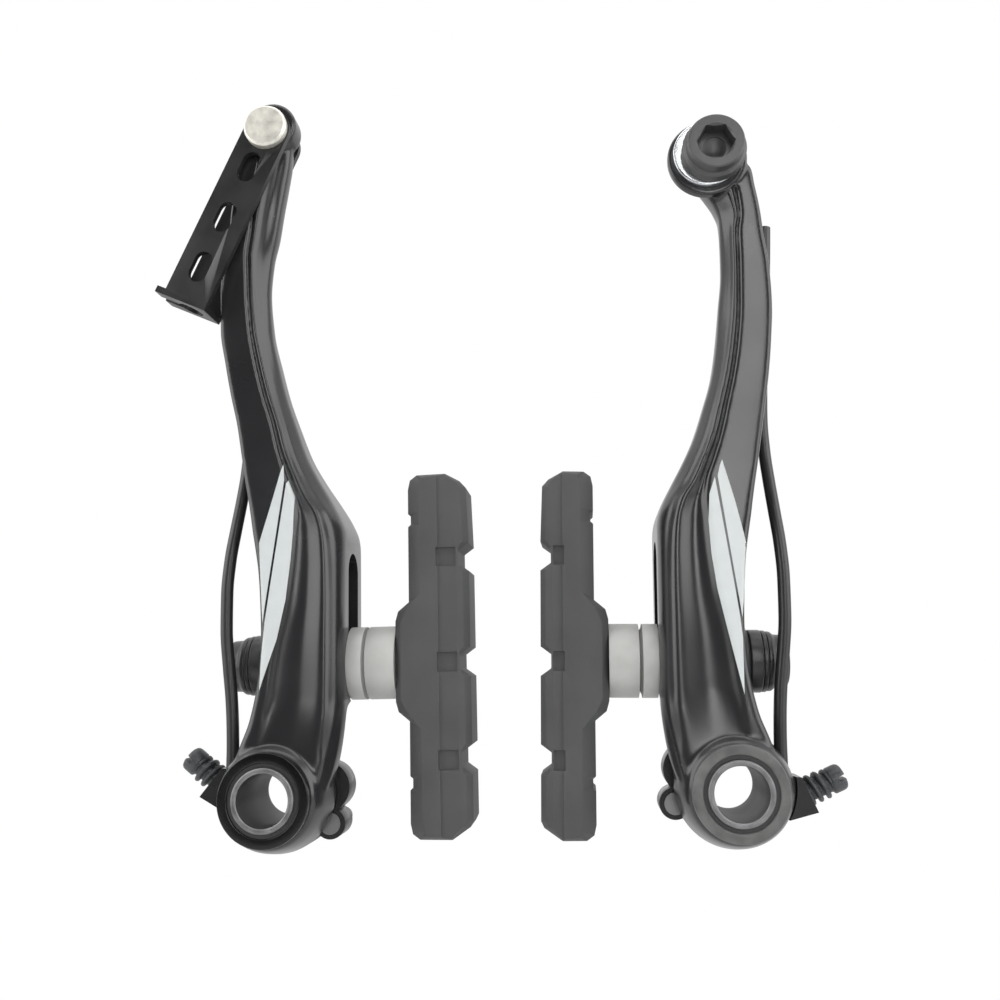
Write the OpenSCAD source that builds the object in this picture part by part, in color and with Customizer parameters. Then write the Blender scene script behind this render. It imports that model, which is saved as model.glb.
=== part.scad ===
// V brake: two cantilever arms of a linear pull rim brake, seen from the front.
// +Z runs up along the arms, +X to the right and +Y back towards the frame.
// The origin lies midway between the two pivots, on the plane of the boss shoulders.
// Every module draws the left side with its pivot at the origin and +X towards the wheel.

/* [Layout] */
// Distance between the two pivot axes
pivot_spacing = 72; // [66:1:90]
// Outward lean of the right arm at rest, in degrees
right_lean = 1.6; // [0:0.1:3]
// Turn of the left spring seat about its pivot, in degrees
left_seat_turn = 39; // [30:1:45]
// Turn of the right spring seat about its pivot, in degrees
right_seat_turn = 23; // [15:1:35]

/* [Pivot] */
// Bore of the bush, for the frame's 8 mm boss
bush_bore_d = 8.05; // [7.9:0.05:8.3]
// Outer diameter of the bush
bush_od = 9.9; // [9.7:0.05:10.1]
// Length of the bush
bush_len = 16.5; // [16:0.1:18]
// Radial running clearance between the bush and its liner
running_gap = 0.05; // [0.03:0.01:0.08]
// Wall of the bearing liner
liner_wall = 0.6; // [0.4:0.05:0.8]
// Outer diameter of the front collar of the arm
collar_d = 14.4; // [14:0.1:15.5]
// Outer diameter of the arm round the pivot, at the front
boss_front_d = 16.6; // [16:0.1:18]
// Outer diameter of the arm round the pivot, at the back
boss_rear_d = 19.2; // [19.2:0.1:20]

/* [Arm] */
// Width of the arm's front face beside the slot
arm_w = 12; // [11:0.1:13]
// Depth of the arm beside the slot
arm_d = 18; // [17:0.1:19]
// Height of the shoulder where the arm narrows
shoulder_h = 42; // [41:0.5:44]
// How far below the link pin the necks of the two arms part
neck_drop = 21.3; // [20:0.1:22.5]
// Height of the link pin above the left pivot
pin_h = 109.3; // [106:0.1:112]
// How much lower the anchor bolt sits than the link pin
anchor_drop = 9.3; // [8.8:0.1:10]
// Outer diameter of the tongue that carries the link
tongue_d = 8.4; // [8.2:0.1:8.8]
// Thickness of that tongue
tongue_t = 4.4; // [4.2:0.1:4.5]
// Outer diameter of the head that carries the anchor bolt
head_d = 12.8; // [12.4:0.1:13.2]
// Thickness of that head
head_t = 7.6; // [7:0.1:8.4]
// Thickness of the rim of that head, in front of the arm
head_rim_t = 1.8; // [1.6:0.1:2.2]

/* [Slot] */
// Width of the slot for the shoe stud
slot_w = 7; // [6.8:0.1:7.4]
// Height of the lower centre of the slot
slot_low_h = 17.5; // [17:0.1:18]
// Height of the upper centre of the slot
slot_high_h = 35.5; // [33:0.1:36]
// Distance of the inner washer face from the pivot plane
inner_face_x = 11; // [10.8:0.05:11.1]
// Distance of the outer washer face on the other side
outer_face_x = 1.9; // [1.8:0.05:2]

/* [Shoe] */
// Height of the left stud above its pivot
left_stud_h = 20.5; // [20:0.1:24]
// Height of the right stud above its pivot
right_stud_h = 19.4; // [19:0.1:24]
// Diameter of the shoe stud
stud_d = 6; // [5.8:0.05:6.2]
// Outer diameter of the washers
washer_d = 12; // [11.6:0.1:12.2]
// Rim thickness of the inner dome washer
inner_dome_t = 2.5; // [2:0.1:3]
// Rim thickness of the outer dome washer
outer_dome_t = 1; // [0.8:0.1:1.4]
// Distance from the inner washer face to the pad's hub
hub_reach = 7.9; // [7.6:0.1:9]
// Distance from the outer washer face to the flat washer
cup_reach = 4.4; // [4.2:0.1:5]
// Thickness of the flat washer
flat_t = 0.8; // [0.6:0.1:1]
// Length of the shoe nut
nut_l = 3.9; // [3.6:0.1:5]
// Diameter of the shoe nut
nut_d = 9; // [8.8:0.1:9.4]
// Diameter of the shoe nut's flange
nut_flange_d = 10.4; // [9.6:0.1:11]
// Size of the hexagon socket in the nut, across its flats
nut_hex = 5; // [4.8:0.1:5.2]
// Length of the pad
pad_l = 61.5; // [60:0.5:72]
// Thickness of the pad from back to rim face
pad_t = 10.3; // [9.5:0.1:11]
// Width of the pad
pad_w = 11.4; // [10.4:0.1:12]
// Thickness of the pad's back band, behind the friction block
band_t = 5.1; // [4.6:0.1:5.6]
// Height of the pad's hub over its back
hub_t = 2.3; // [2:0.1:2.6]
// Offset of the pad's middle from the stud
pad_shift = 1.6; // [0:0.1:4]

/* [Link] */
// Distance from the link pin to the link's end wall
link_l = 31.6; // [31:0.1:34]
// Width of the link's plates
link_w = 7.7; // [7.5:0.1:8.2]
// Thickness of the link's sheet steel
link_t = 1.1; // [0.9:0.05:1.3]
// Gap between the link's two plates
link_gap = 4.8; // [4.6:0.1:5]
// Angle of the hanging link from straight down, in degrees
link_angle = 24.5; // [24:0.5:27]
// Diameter of the link pin's shank
pin_d = 4; // [3.6:0.1:4.4]
// Diameter of the link pin's head
pin_head_d = 7.2; // [6.8:0.1:7.6]
// Diameter of the keyhole that seats the cable guide's tip
keyhole_d = 4.2; // [4.1:0.1:4.4]

/* [Anchor] */
// Diameter of the anchor bolt's shank
anchor_d = 6; // [5:0.1:6]
// Diameter of the anchor bolt's head
anchor_head_d = 9.2; // [9:0.1:9.6]
// Height of that head
anchor_head_t = 4; // [3.6:0.1:5]
// Size of the hexagon socket in the anchor bolt, across its flats
anchor_hex = 5.5; // [5.3:0.1:5.7]
// Outer diameter of the anchor washer
anchor_washer_d = 11.3; // [11:0.1:11.6]
// Thickness of the anchor washer
anchor_washer_t = 1.4; // [1.2:0.1:1.6]

/* [Spring] */
// Diameter of the spring wire
wire_d = 2; // [1.8:0.1:2]
// Gap between the spring's coil and the liner inside it
coil_gap = 0.4; // [0.3:0.05:0.5]
// Thickness of the spring seat
seat_t = 5.5; // [5.4:0.1:5.6]
// Diameter of the spring seat
seat_d = 18.4; // [17.8:0.1:18.6]
// Diameter of the stopper pin
stopper_d = 2.8; // [2.4:0.1:3]
// Distance of the stopper pin from the pivot axis
stopper_r = 9.3; // [9:0.1:9.6]
// Length of the stopper pin that stands out behind the seat
stopper_l = 4.5; // [4:0.1:6]
// Thread diameter of the adjuster screw
adjuster_d = 4.8; // [4.6:0.1:4.9]
// Length of the adjuster screw
adjuster_l = 10.4; // [10.2:0.1:10.6]
// Length of the left adjuster screw outside its block
left_adjuster_out = 6.4; // [6:0.1:8]
// Length of the right adjuster screw outside its block
right_adjuster_out = 6.6; // [5:0.1:8]

/* [Hidden] */
$fn = 48;

// overrun of every cut, and the hair gap of a loose fit
over = 1;
loose = 0.3;

// pivot
half_spacing = pivot_spacing / 2;
seat_lift = 0.2;
seat_front = -seat_lift - seat_t;
boss_rear = seat_front - loose;
boss_front = -bush_len + loose;
collar_step = 1.6;
liner_od = bush_od + 2 * (running_gap + liner_wall);
coil_d = liner_od + 2 * coil_gap + wire_d;
neck_h = pin_h - neck_drop;
anchor_h = pin_h - anchor_drop;
cup_depth = 5;
cup_d = coil_d + wire_d + 0.8 * liner_wall;

// spring seat, with the stopper pin a little above the line of the adjuster screw
adjuster_drop = bush_od / 2 + 0.2 * adjuster_d;
block_in = 0.42 * seat_d;
block_out = 0.56 * seat_d;
block_h = 1.2 * adjuster_d;
adjuster_y = -seat_lift - 0.5 * seat_t;
adjuster_fit = 0.1;
stopper_root_d = stopper_d + 2 * loose;
stopper_angle = 7;
lobe_angle = 45;
lobe_shift = 0.38 * seat_d;
leg_anchor_angle = -90;

// spring coil
coil_turns = 1.25;
coil_pitch = 1.05 * wire_d;
coil_front = boss_rear - cup_depth + loose + wire_d / 2;
coil_rear = coil_front + coil_turns * coil_pitch;

// slot and washers
stud_y = -0.145 * arm_d;
ball_x = (inner_face_x - outer_face_x) / 2;
dome_edge_r = 0.935 * washer_d / 2;
ball_fit = 0.2 * loose;
swing_gap = 1.9 * loose;
dome_bore_d = 1.3 * stud_d;
hub_x = inner_face_x + hub_reach;
inner_dome_x = inner_face_x + inner_dome_t;
outer_dome_x = -outer_face_x - outer_dome_t;
flat_x = -outer_face_x - cup_reach;
nut_x = flat_x - flat_t;
stud_fit = 0.05;
spot_r = washer_d / 2 + loose;

// pad
pad_x = hub_x + hub_t;
rim_x = pad_x + pad_t;

// link
link_front = -0.977 * arm_d;
link_rear = link_front + link_gap;
plate_mid = (link_front + link_rear) / 2;
tongue_front = link_front + (link_gap - tongue_t) / 2;
pin_x = -0.01 * arm_w;
head_front = -0.955 * arm_d;
anchor_x = 0.115 * arm_w;

// Arm stations below the shoulder: height as a share of shoulder_h, then the outer edge,
// groove, ridge, crease and inner side as shares of arm_w, then the front face, the front
// and back edges of the side faces, and the back face as shares of arm_d.
lower_shares = [
    [-0.05, -0.46, -0.2, 0.43, 0.54, 0.62, -0.77, -0.62, -0.42, -0.36],
    [0.083, -0.52, -0.25, 0.52, 0.65, 0.8, -0.757, -0.6, -0.4, -0.336],
    [0.18, -0.42, -0.15, 0.55, 0.725, 0.87, -0.745, -0.56, -0.39, -0.336],
    [0.27, -0.3, -0.08, 0.58, 0.8, 0.91, -0.74, -0.52, -0.39, -0.336],
    [0.31, -0.265, -0.06, 0.59, 0.83, 0.92, -0.737, -0.49, -0.37, -0.336],
    [0.38, -0.215, -0.01, 0.59, 0.85, 0.925, -0.735, -0.483, 0.13, 0.2],
    [0.475, -0.175, 0.03, 0.59, 0.862, 0.925, -0.733, -0.483, 0.2, 0.278],
    [0.595, -0.155, 0.095, 0.59, 0.865, 0.925, -0.733, -0.483, 0.2, 0.278],
    [0.715, -0.17, 0.19, 0.59, 0.865, 0.925, -0.733, -0.483, 0.2, 0.278],
    [0.835, -0.2, 0.24, 0.585, 0.85, 0.925, -0.733, -0.483, 0.2, 0.278],
    [0.95, -0.26, 0.275, 0.58, 0.81, 0.925, -0.733, -0.483, 0.2, 0.27],
    [1, -0.29, 0.285, 0.57, 0.765, 0.91, -0.733, -0.483, 0.19, 0.265]];
// From the shoulder to the neck: height as a share of that length
left_upper_shares = [
    [0.055, -0.32, 0.31, 0.53, 0.7, 0.84, -0.733, -0.5, 0.13, 0.22],
    [0.12, -0.36, 0.285, 0.415, 0.535, 0.715, -0.733, -0.515, 0.01, 0.11],
    [0.195, -0.41, 0.19, 0.3, 0.375, 0.55, -0.737, -0.54, -0.13, -0.02],
    [0.28, -0.46, 0.085, 0.175, 0.25, 0.39, -0.745, -0.555, -0.255, -0.155],
    [0.39, -0.525, -0.015, 0.065, 0.135, 0.25, -0.755, -0.59, -0.355, -0.265],
    [0.5, -0.615, -0.14, -0.065, 0.01, 0.12, -0.77, -0.62, -0.415, -0.345],
    [0.61, -0.687, -0.237, -0.162, -0.097, 0.023, -0.79, -0.65, -0.46, -0.4],
    [0.74, -0.755, -0.32, -0.255, -0.19, -0.065, -0.815, -0.685, -0.545, -0.49],
    [0.87, -0.753, -0.348, -0.288, -0.228, -0.088, -0.85, -0.72, -0.61, -0.56],
    [1, -0.688, -0.348, -0.288, -0.223, -0.038, -0.89, -0.765, -0.65, -0.585]];
right_upper_shares = [
    [0.055, -0.32, 0.31, 0.53, 0.7, 0.84, -0.733, -0.5, 0.13, 0.22],
    [0.12, -0.36, 0.285, 0.415, 0.535, 0.715, -0.733, -0.515, 0.01, 0.11],
    [0.195, -0.41, 0.19, 0.3, 0.381, 0.562, -0.737, -0.54, -0.13, -0.02],
    [0.28, -0.46, 0.085, 0.175, 0.26, 0.41, -0.745, -0.555, -0.255, -0.155],
    [0.39, -0.525, -0.015, 0.065, 0.145, 0.27, -0.755, -0.59, -0.355, -0.265],
    [0.5, -0.585, -0.11, -0.035, 0.04, 0.15, -0.77, -0.62, -0.415, -0.345],
    [0.61, -0.625, -0.175, -0.1, -0.035, 0.085, -0.79, -0.65, -0.46, -0.4],
    [0.74, -0.65, -0.215, -0.15, -0.085, 0.04, -0.815, -0.685, -0.545, -0.49],
    [0.87, -0.625, -0.22, -0.16, -0.11, 0, -0.85, -0.72, -0.61, -0.56],
    [1, -0.55, -0.21, -0.15, -0.105, 0.01, -0.89, -0.765, -0.65, -0.585]];
// From the neck to the link pin
tongue_shares = [
    [0.2, -0.615, -0.3, -0.24, -0.165, 0.045, -0.91, -0.8, -0.665, -0.595],
    [0.4, -0.575, -0.255, -0.195, -0.1, 0.11, -0.93, -0.825, -0.69, -0.61],
    [0.6, -0.52, -0.2, -0.135, -0.02, 0.175, -0.94, -0.83, -0.7, -0.625],
    [0.8, -0.46, -0.14, -0.07, 0.06, 0.235, -0.945, -0.84, -0.71, -0.635],
    [0.95, -0.215, -0.01, 0.03, 0.14, 0.26, -0.94, -0.835, -0.71, -0.635]];
// From the neck to the anchor bolt
head_shares = [
    [0.2, -0.525, -0.235, -0.18, -0.105, 0.02, -0.91, -0.79, -0.63, -0.55],
    [0.41, -0.49, -0.215, -0.14, -0.04, 0.09, -0.93, -0.8, -0.625, -0.54],
    [0.615, -0.45, -0.18, -0.09, 0.06, 0.21, -0.94, -0.81, -0.62, -0.535],
    [0.86, -0.41, -0.14, -0.03, 0.16, 0.37, -0.94, -0.81, -0.62, -0.535],
    [0.95, -0.32, -0.1, 0.02, 0.2, 0.4, -0.94, -0.81, -0.62, -0.535]];

// Path of the spring's long leg: height as a share of neck_h, then x as a share of arm_w
// and y as a share of arm_d.
leg_shares = [
    [0.03, -0.585, -0.533], [0.07, -0.585, -0.528], [0.12, -0.595, -0.524], [0.17, -0.62, -0.518],
    [0.23, -0.67, -0.514], [0.30, -0.715, -0.514], [0.37, -0.72, -0.51], [0.43, -0.70, -0.48],
    [0.49, -0.665, -0.41], [0.55, -0.635, -0.32], [0.61, -0.61, -0.245], [0.67, -0.60, -0.205],
    [0.73, -0.605, -0.235], [0.79, -0.615, -0.30], [0.86, -0.63, -0.36], [0.93, -0.655, -0.395],
    [1, -0.68, -0.40], [1.045, -0.695, -0.395]];

// Puts a module of the left side on its pivot, or its mirror image on the right pivot.
module on_left() {
    translate([-half_spacing, 0, 0]) children();
}
module on_right() {
    translate([half_spacing, 0, 0]) rotate([0, right_lean, 0]) mirror([1, 0, 0]) children();
}
module fixed_left() {
    translate([-half_spacing, 0, 0]) rotate([0, left_seat_turn, 0]) children();
}
module fixed_right() {
    translate([half_spacing, 0, 0]) mirror([1, 0, 0]) rotate([0, right_seat_turn, 0]) children();
}

// A round bar along Y from y0 to y1
module y_rod(d, y0, y1, sides = 48) {
    translate([0, y0, 0]) rotate([-90, 0, 0]) cylinder(d = d, h = y1 - y0, $fn = sides);
}
// A round bar along X from x0 to x1
module x_rod(d, x0, x1, sides = 48) {
    translate([x0, 0, 0]) rotate([0, 90, 0]) cylinder(d = d, h = x1 - x0, $fn = sides);
}
// A revolved profile of [radius, y] points round the Y axis
module y_spin(points) {
    rotate([-90, 0, 0]) rotate_extrude($fn = 64) polygon(points);
}
// A revolved profile of [radius, x] points round the X axis
module x_spin() {
    rotate([0, 90, 0]) rotate_extrude($fn = 64) children();
}
// An outline of [x, z] points, extruded along Y from y0 to y1
module y_plate(points, y0, y1) {
    translate([0, y1, 0]) rotate([90, 0, 0]) linear_extrude(height = y1 - y0) polygon(points);
}

// One ring of the arm: the section at height h, as fourteen points
function arm_ring(s, h) = let (
        outer = s[1] * arm_w, groove = s[2] * arm_w, ridge = s[3] * arm_w, crease = s[4] * arm_w,
        side = s[5] * arm_w, front = s[6] * arm_d, side_f = s[7] * arm_d, side_r = s[8] * arm_d,
        rear = s[9] * arm_d, round_x = 0.09 * arm_w, round_y = 0.09 * arm_d)
    [[outer, front + round_y, h], [outer + 0.3 * round_x, front + 0.35 * round_y, h],
        [outer + round_x, front, h], [groove - 0.8 * round_x, front, h],
        [groove, front + 0.4 * round_y, h], [ridge, front + 0.08 * round_y, h],
        [(ridge + crease) / 2, front + 0.3 * round_y, h], [crease, front + 1.1 * round_y, h],
        [side, side_f, h], [side, side_r, h], [side - 1.2 * round_x, rear, h],
        [outer + 1.2 * round_x, rear, h], [outer - 0.4 * round_x, side_r, h],
        [outer - 0.4 * round_x, side_f, h]];

function arm_rings(upper_shares, neck_shares, tip_h) = concat(
    [for (s = lower_shares) arm_ring(s, s[0] * shoulder_h)],
    [for (s = upper_shares) arm_ring(s, shoulder_h + s[0] * (neck_h - shoulder_h))],
    [for (s = neck_shares) arm_ring(s, neck_h + s[0] * (tip_h - neck_h))]);

// A closed skin through rings of equal size, each ring anticlockwise seen from its far end
module skin(rings) {
    count = len(rings);
    sides = len(rings[0]);
    points = [for (r = rings) for (p = r) p];
    walls = [for (i = [0:count - 2]) for (j = [0:sides - 1]) let (k = (j + 1) % sides)
        each [[i * sides + j, (i + 1) * sides + j, (i + 1) * sides + k],
            [i * sides + j, (i + 1) * sides + k, i * sides + k]]];
    ends = [[for (j = [0:sides - 1]) j],
        [for (j = [sides - 1:-1:0]) (count - 1) * sides + j]];
    polyhedron(points = points, faces = concat(walls, ends), convexity = 6);
}

// The round lower body of the arm, with its raised front collar
module arm_boss() {
    collar_r = collar_d / 2;
    front_r = boss_front_d / 2;
    rear_r = boss_rear_d / 2;
    step_y = boss_front + collar_step;
    edge = 0.25 * collar_step;
    y_spin([[0, boss_front], [collar_r - edge, boss_front], [collar_r, boss_front + edge],
        [collar_r, step_y], [front_r - 2 * edge, step_y], [front_r, step_y + 2 * edge],
        [rear_r, boss_rear - 3 * edge], [rear_r - edge, boss_rear], [0, boss_rear]]);
}

// What is cut from both arms: the bearing bore, the spring's cup and its way out, and the slot
module arm_cuts() {
    y_rod(liner_od, boss_front - over, boss_rear + over);
    y_rod(cup_d, boss_rear - cup_depth, boss_rear + over);
    translate([-boss_rear_d, boss_rear - cup_depth, -0.1 * boss_rear_d])
        cube([boss_rear_d - (coil_d - wire_d) / 2 + loose, cup_depth - boss_rear + over,
            0.72 * boss_rear_d]);
    slot_cut();
    spot_cut(inner_face_x, inner_face_x + arm_w);
    spot_cut(-outer_face_x - arm_w, -outer_face_x);
}

module slot_cut() {
    translate([0, stud_y, 0]) {
        for (h = [slot_low_h, slot_high_h])
            translate([0, 0, h]) x_rod(slot_w, -arm_w, 2 * arm_w);
        translate([-arm_w, -slot_w / 2, slot_low_h])
            cube([3 * arm_w, slot_w, slot_high_h - slot_low_h]);
    }
}

// A flat face for the washers along the slot
module spot_cut(x0, x1) {
    translate([x0, stud_y - spot_r, slot_low_h - spot_r])
        cube([x1 - x0, 2 * spot_r, slot_high_h - slot_low_h + 2 * spot_r]);
}

// The arm's end with the tongue that the cable link straddles
module left_arm_shape() {
    color([0.07, 0.07, 0.075]) difference() {
        union() {
            skin(arm_rings(left_upper_shares, tongue_shares, pin_h));
            arm_boss();
            translate([pin_x + 0.03 * tongue_d, 0, pin_h + 0.17 * tongue_d])
                end_disc(tongue_d, tongue_front, tongue_t);
        }
        arm_cuts();
        translate([pin_x, 0, pin_h]) {
            y_rod(pin_d, tongue_front - over, link_rear);
            rotate([0, link_angle, 0]) link_recess();
        }
    }
}

// Room behind the tongue for the link's back plate, where it hangs beside the neck
module link_recess() {
    r = link_w / 2 + 2 * loose;
    floor_y = link_rear - loose / 3;
    y_rod(2 * r, floor_y, over);
    translate([-r, floor_y, -link_l - link_t - r])
        cube([2 * r, over - floor_y, link_l + link_t + r]);
}

// The arm's end with the head for the anchor bolt
module right_arm_shape() {
    color([0.07, 0.07, 0.075]) difference() {
        union() {
            skin(arm_rings(right_upper_shares, head_shares, anchor_h));
            arm_boss();
            translate([anchor_x + 0.06 * head_d, 0, anchor_h]) end_disc(head_d, head_front, head_rim_t);
        }
        arm_cuts();
        translate([anchor_x, 0, anchor_h])
            y_rod(anchor_d, head_front - over, head_front + head_t + over);
    }
}

// A disc with bevelled rims
module end_disc(d, y0, t) {
    r = d / 2;
    bevel = 0.1 * t;
    y_spin([[0, y0], [r - bevel, y0], [r, y0 + bevel], [r, y0 + t - bevel],
        [r - bevel, y0 + t], [0, y0 + t]]);
}

module bush() {
    color([0.45, 0.45, 0.46]) difference() {
        y_rod(bush_od, -bush_len, 0);
        y_rod(bush_bore_d, -bush_len - over, over);
    }
}

module liner() {
    color([0.12, 0.12, 0.12]) difference() {
        y_rod(liner_od, boss_front + loose, boss_rear);
        y_rod(bush_od + 2 * running_gap, boss_front - over, boss_rear + over);
    }
}

// The seat is drawn with its adjuster screw level, pointing outwards
module spring_seat() {
    pin_lobe_r = stopper_root_d / 2 + 0.14 * seat_t;
    color([0.05, 0.05, 0.055]) difference() {
        union() {
            y_rod(seat_d, seat_front, -seat_lift);
            rotate([0, -lobe_angle, 0]) translate([lobe_shift, 0, 0])
                y_rod(0.44 * seat_d, seat_front + 0.07 * seat_t, -seat_lift - 0.07 * seat_t);
            rotate([0, -stopper_angle, 0]) {
                translate([stopper_r, 0, 0])
                    y_rod(2 * pin_lobe_r, seat_front + 0.03 * seat_t, -seat_lift - 0.03 * seat_t);
                y_plate([[0.2 * seat_d, -0.4 * seat_d], [stopper_r, -0.86 * pin_lobe_r],
                    [stopper_r, 0.86 * pin_lobe_r], [0.2 * seat_d, 0.4 * seat_d]],
                    seat_front + 0.05 * seat_t, -seat_lift - 0.05 * seat_t);
            }
            screw_block();
        }
        y_rod(bush_od, seat_front - over, over);
        rotate([0, -stopper_angle, 0]) translate([stopper_r, 0, 0])
            y_rod(stopper_root_d, seat_front - over, over);
        translate([0, adjuster_y, -adjuster_drop])
            x_rod(adjuster_d + 2 * adjuster_fit, -block_out - over, -0.25 * seat_d);
        seat_leg_hole();
    }
}

// The block for the adjuster screw, deeper than the seat where it stands clear of the arm
module screw_block() {
    outline = [[-block_out, -adjuster_drop - block_h / 2], [-block_out, -adjuster_drop + block_h / 2],
        [-block_in, -adjuster_drop + 0.75 * block_h], [-0.1 * block_in, -adjuster_drop - 0.25 * block_h]];
    difference() {
        y_plate(outline, seat_front - 0.15 * seat_t, -seat_lift - 0.02 * seat_t);
        y_rod(boss_rear_d + 2 * loose, seat_front - seat_t, seat_front + 0.02 * seat_t);
    }
}

module seat_leg_hole() {
    rotate([0, -leg_anchor_angle, 0]) translate([coil_d / 2, 0, 0])
        y_rod(wire_d + 2 * adjuster_fit, seat_front - over, seat_front + 0.55 * seat_t);
}

module stopper_pin() {
    color([0.5, 0.5, 0.51]) rotate([0, -stopper_angle, 0]) translate([stopper_r, 0, 0]) {
        y_rod(stopper_root_d, seat_front - loose / 3, -seat_lift);
        y_rod(stopper_d, -seat_lift - loose, stopper_l - seat_lift);
    }
}

// The screw's length outside the block is told apart for the two sides
module adjuster(out) {
    pitch = 0.28 * adjuster_d;
    core_r = 0.36 * adjuster_d;
    crest_r = adjuster_d / 2;
    head_l = 0.62 * adjuster_d;
    turns = floor((adjuster_l - head_l) / pitch);
    tip = -block_out - out + adjuster_l;
    thread = [for (i = [0:turns - 1]) each [[core_r, i * pitch], [crest_r, (i + 0.4) * pitch],
        [crest_r, (i + 0.55) * pitch]]];
    color([0.06, 0.06, 0.065]) translate([tip, adjuster_y, -adjuster_drop]) difference() {
        rotate([0, -90, 0]) rotate_extrude($fn = 32)
            polygon(concat([[0, 0]], thread, [[core_r, turns * pitch],
                [0.93 * crest_r, turns * pitch], [0.93 * crest_r, adjuster_l - 0.1 * head_l],
                [0.8 * crest_r, adjuster_l], [0, adjuster_l]]));
        translate([-adjuster_l - over, -crest_r - over, -0.14 * adjuster_d])
            cube([over + 0.45 * head_l, adjuster_d + 2 * over, 0.28 * adjuster_d]);
    }
}

// The spring is one round wire: a short leg in the seat, the coil and the long leg.
// The coil begins at the end of the wire in the seat and ends at the arm's outer side.
// Rings of the wire: points along the path, each with a circle across the way to the next
function path_ring(path, i, sides) = let (
        last = len(path) - 1,
        a = path[max(i - 1, 0)], b = path[min(i + 1, last)],
        t = (b - a) / norm(b - a),
        u0 = cross(t, abs(t[1]) < 0.9 ? [0, 1, 0] : [0, 0, 1]),
        u = u0 / norm(u0), v = cross(t, u))
    [for (j = [0:sides - 1]) let (w = 360 * j / sides)
        path[i] + wire_d / 2 * (u * cos(w) + v * sin(w))];

function spring_path(end_angle) = let (
        sweep = 360 + end_angle, steps = 26, r = coil_d / 2)
    concat(
        [for (y = [seat_front + 0.5 * seat_t, seat_front, (seat_front + coil_rear) / 2])
            [r * cos(180 + sweep), y, r * sin(180 + sweep)]],
        [for (i = [0:steps]) let (a = sweep * (1 - i / steps), f = i / steps)
            [r * cos(180 + a), coil_rear + f * (coil_front - coil_rear), r * sin(180 + a)]],
        [for (s = leg_shares) [s[1] * arm_w, s[2] * arm_d, s[0] * neck_h]]);

module spring(end_angle) {
    path = spring_path(end_angle);
    color([0.05, 0.05, 0.055])
        skin([for (i = [0:len(path) - 1]) path_ring(path, i, 8)]);
}

// Washers, drawn with the stud's axis along X through the origin
module inner_dome() {
    dome_washer(inner_face_x, inner_dome_x, 1);
}
module outer_dome() {
    dome_washer(-outer_face_x, outer_dome_x, -1);
}
function ball_r(edge_x) = norm([edge_x - ball_x, dome_edge_r]);

module dome_washer(face_x, edge_x, way) {
    r = ball_r(edge_x);
    difference() {
        union() {
            x_rod(washer_d, min(face_x, edge_x), max(face_x, edge_x), 64);
            intersection() {
                translate([ball_x, 0, 0]) sphere(r = r, $fn = 96);
                x_rod(2 * dome_edge_r, min(edge_x, edge_x + way * r), max(edge_x, edge_x + way * r));
            }
        }
        x_rod(dome_bore_d, face_x - 2 * arm_w, face_x + 2 * arm_w);
    }
}

module cup_washer(edge_x, back_x, way) {
    rim_x0 = edge_x + way * swing_gap;
    difference() {
        x_rod(washer_d, min(rim_x0, back_x), max(rim_x0, back_x), 64);
        translate([ball_x, 0, 0]) sphere(r = ball_r(edge_x) + ball_fit, $fn = 96);
        x_rod(stud_d + 2 * stud_fit, min(rim_x0, back_x) - over, max(rim_x0, back_x) + over);
    }
}

module flat_washer() {
    difference() {
        x_rod(washer_d - loose, nut_x, flat_x);
        x_rod(stud_d + 2 * stud_fit, nut_x - over, flat_x + over);
    }
}

module shoe_nut() {
    end_x = nut_x - nut_l;
    flange_t = 0.25 * nut_l;
    edge = 0.12 * nut_l;
    difference() {
        x_spin() polygon([[0, end_x], [nut_d / 2 - edge, end_x], [nut_d / 2, end_x + edge],
            [nut_d / 2, nut_x - 1.6 * flange_t], [nut_flange_d / 2, nut_x - flange_t],
            [nut_flange_d / 2, nut_x], [0, nut_x]]);
        x_rod(stud_d + 2 * stud_fit, end_x + 0.62 * nut_l, nut_x + over);
        x_rod(nut_hex / cos(30), end_x - over, end_x + 0.65 * nut_l, 6);
    }
}

// The stud with the round plate that the pad is moulded over
module shoe_stud() {
    plate_r = 0.9 * stud_d;
    x_rod(stud_d, nut_x - 0.3 * nut_l, pad_x);
    x_rod(2 * plate_r, hub_x + 0.45 * hub_t, pad_x);
}

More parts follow.
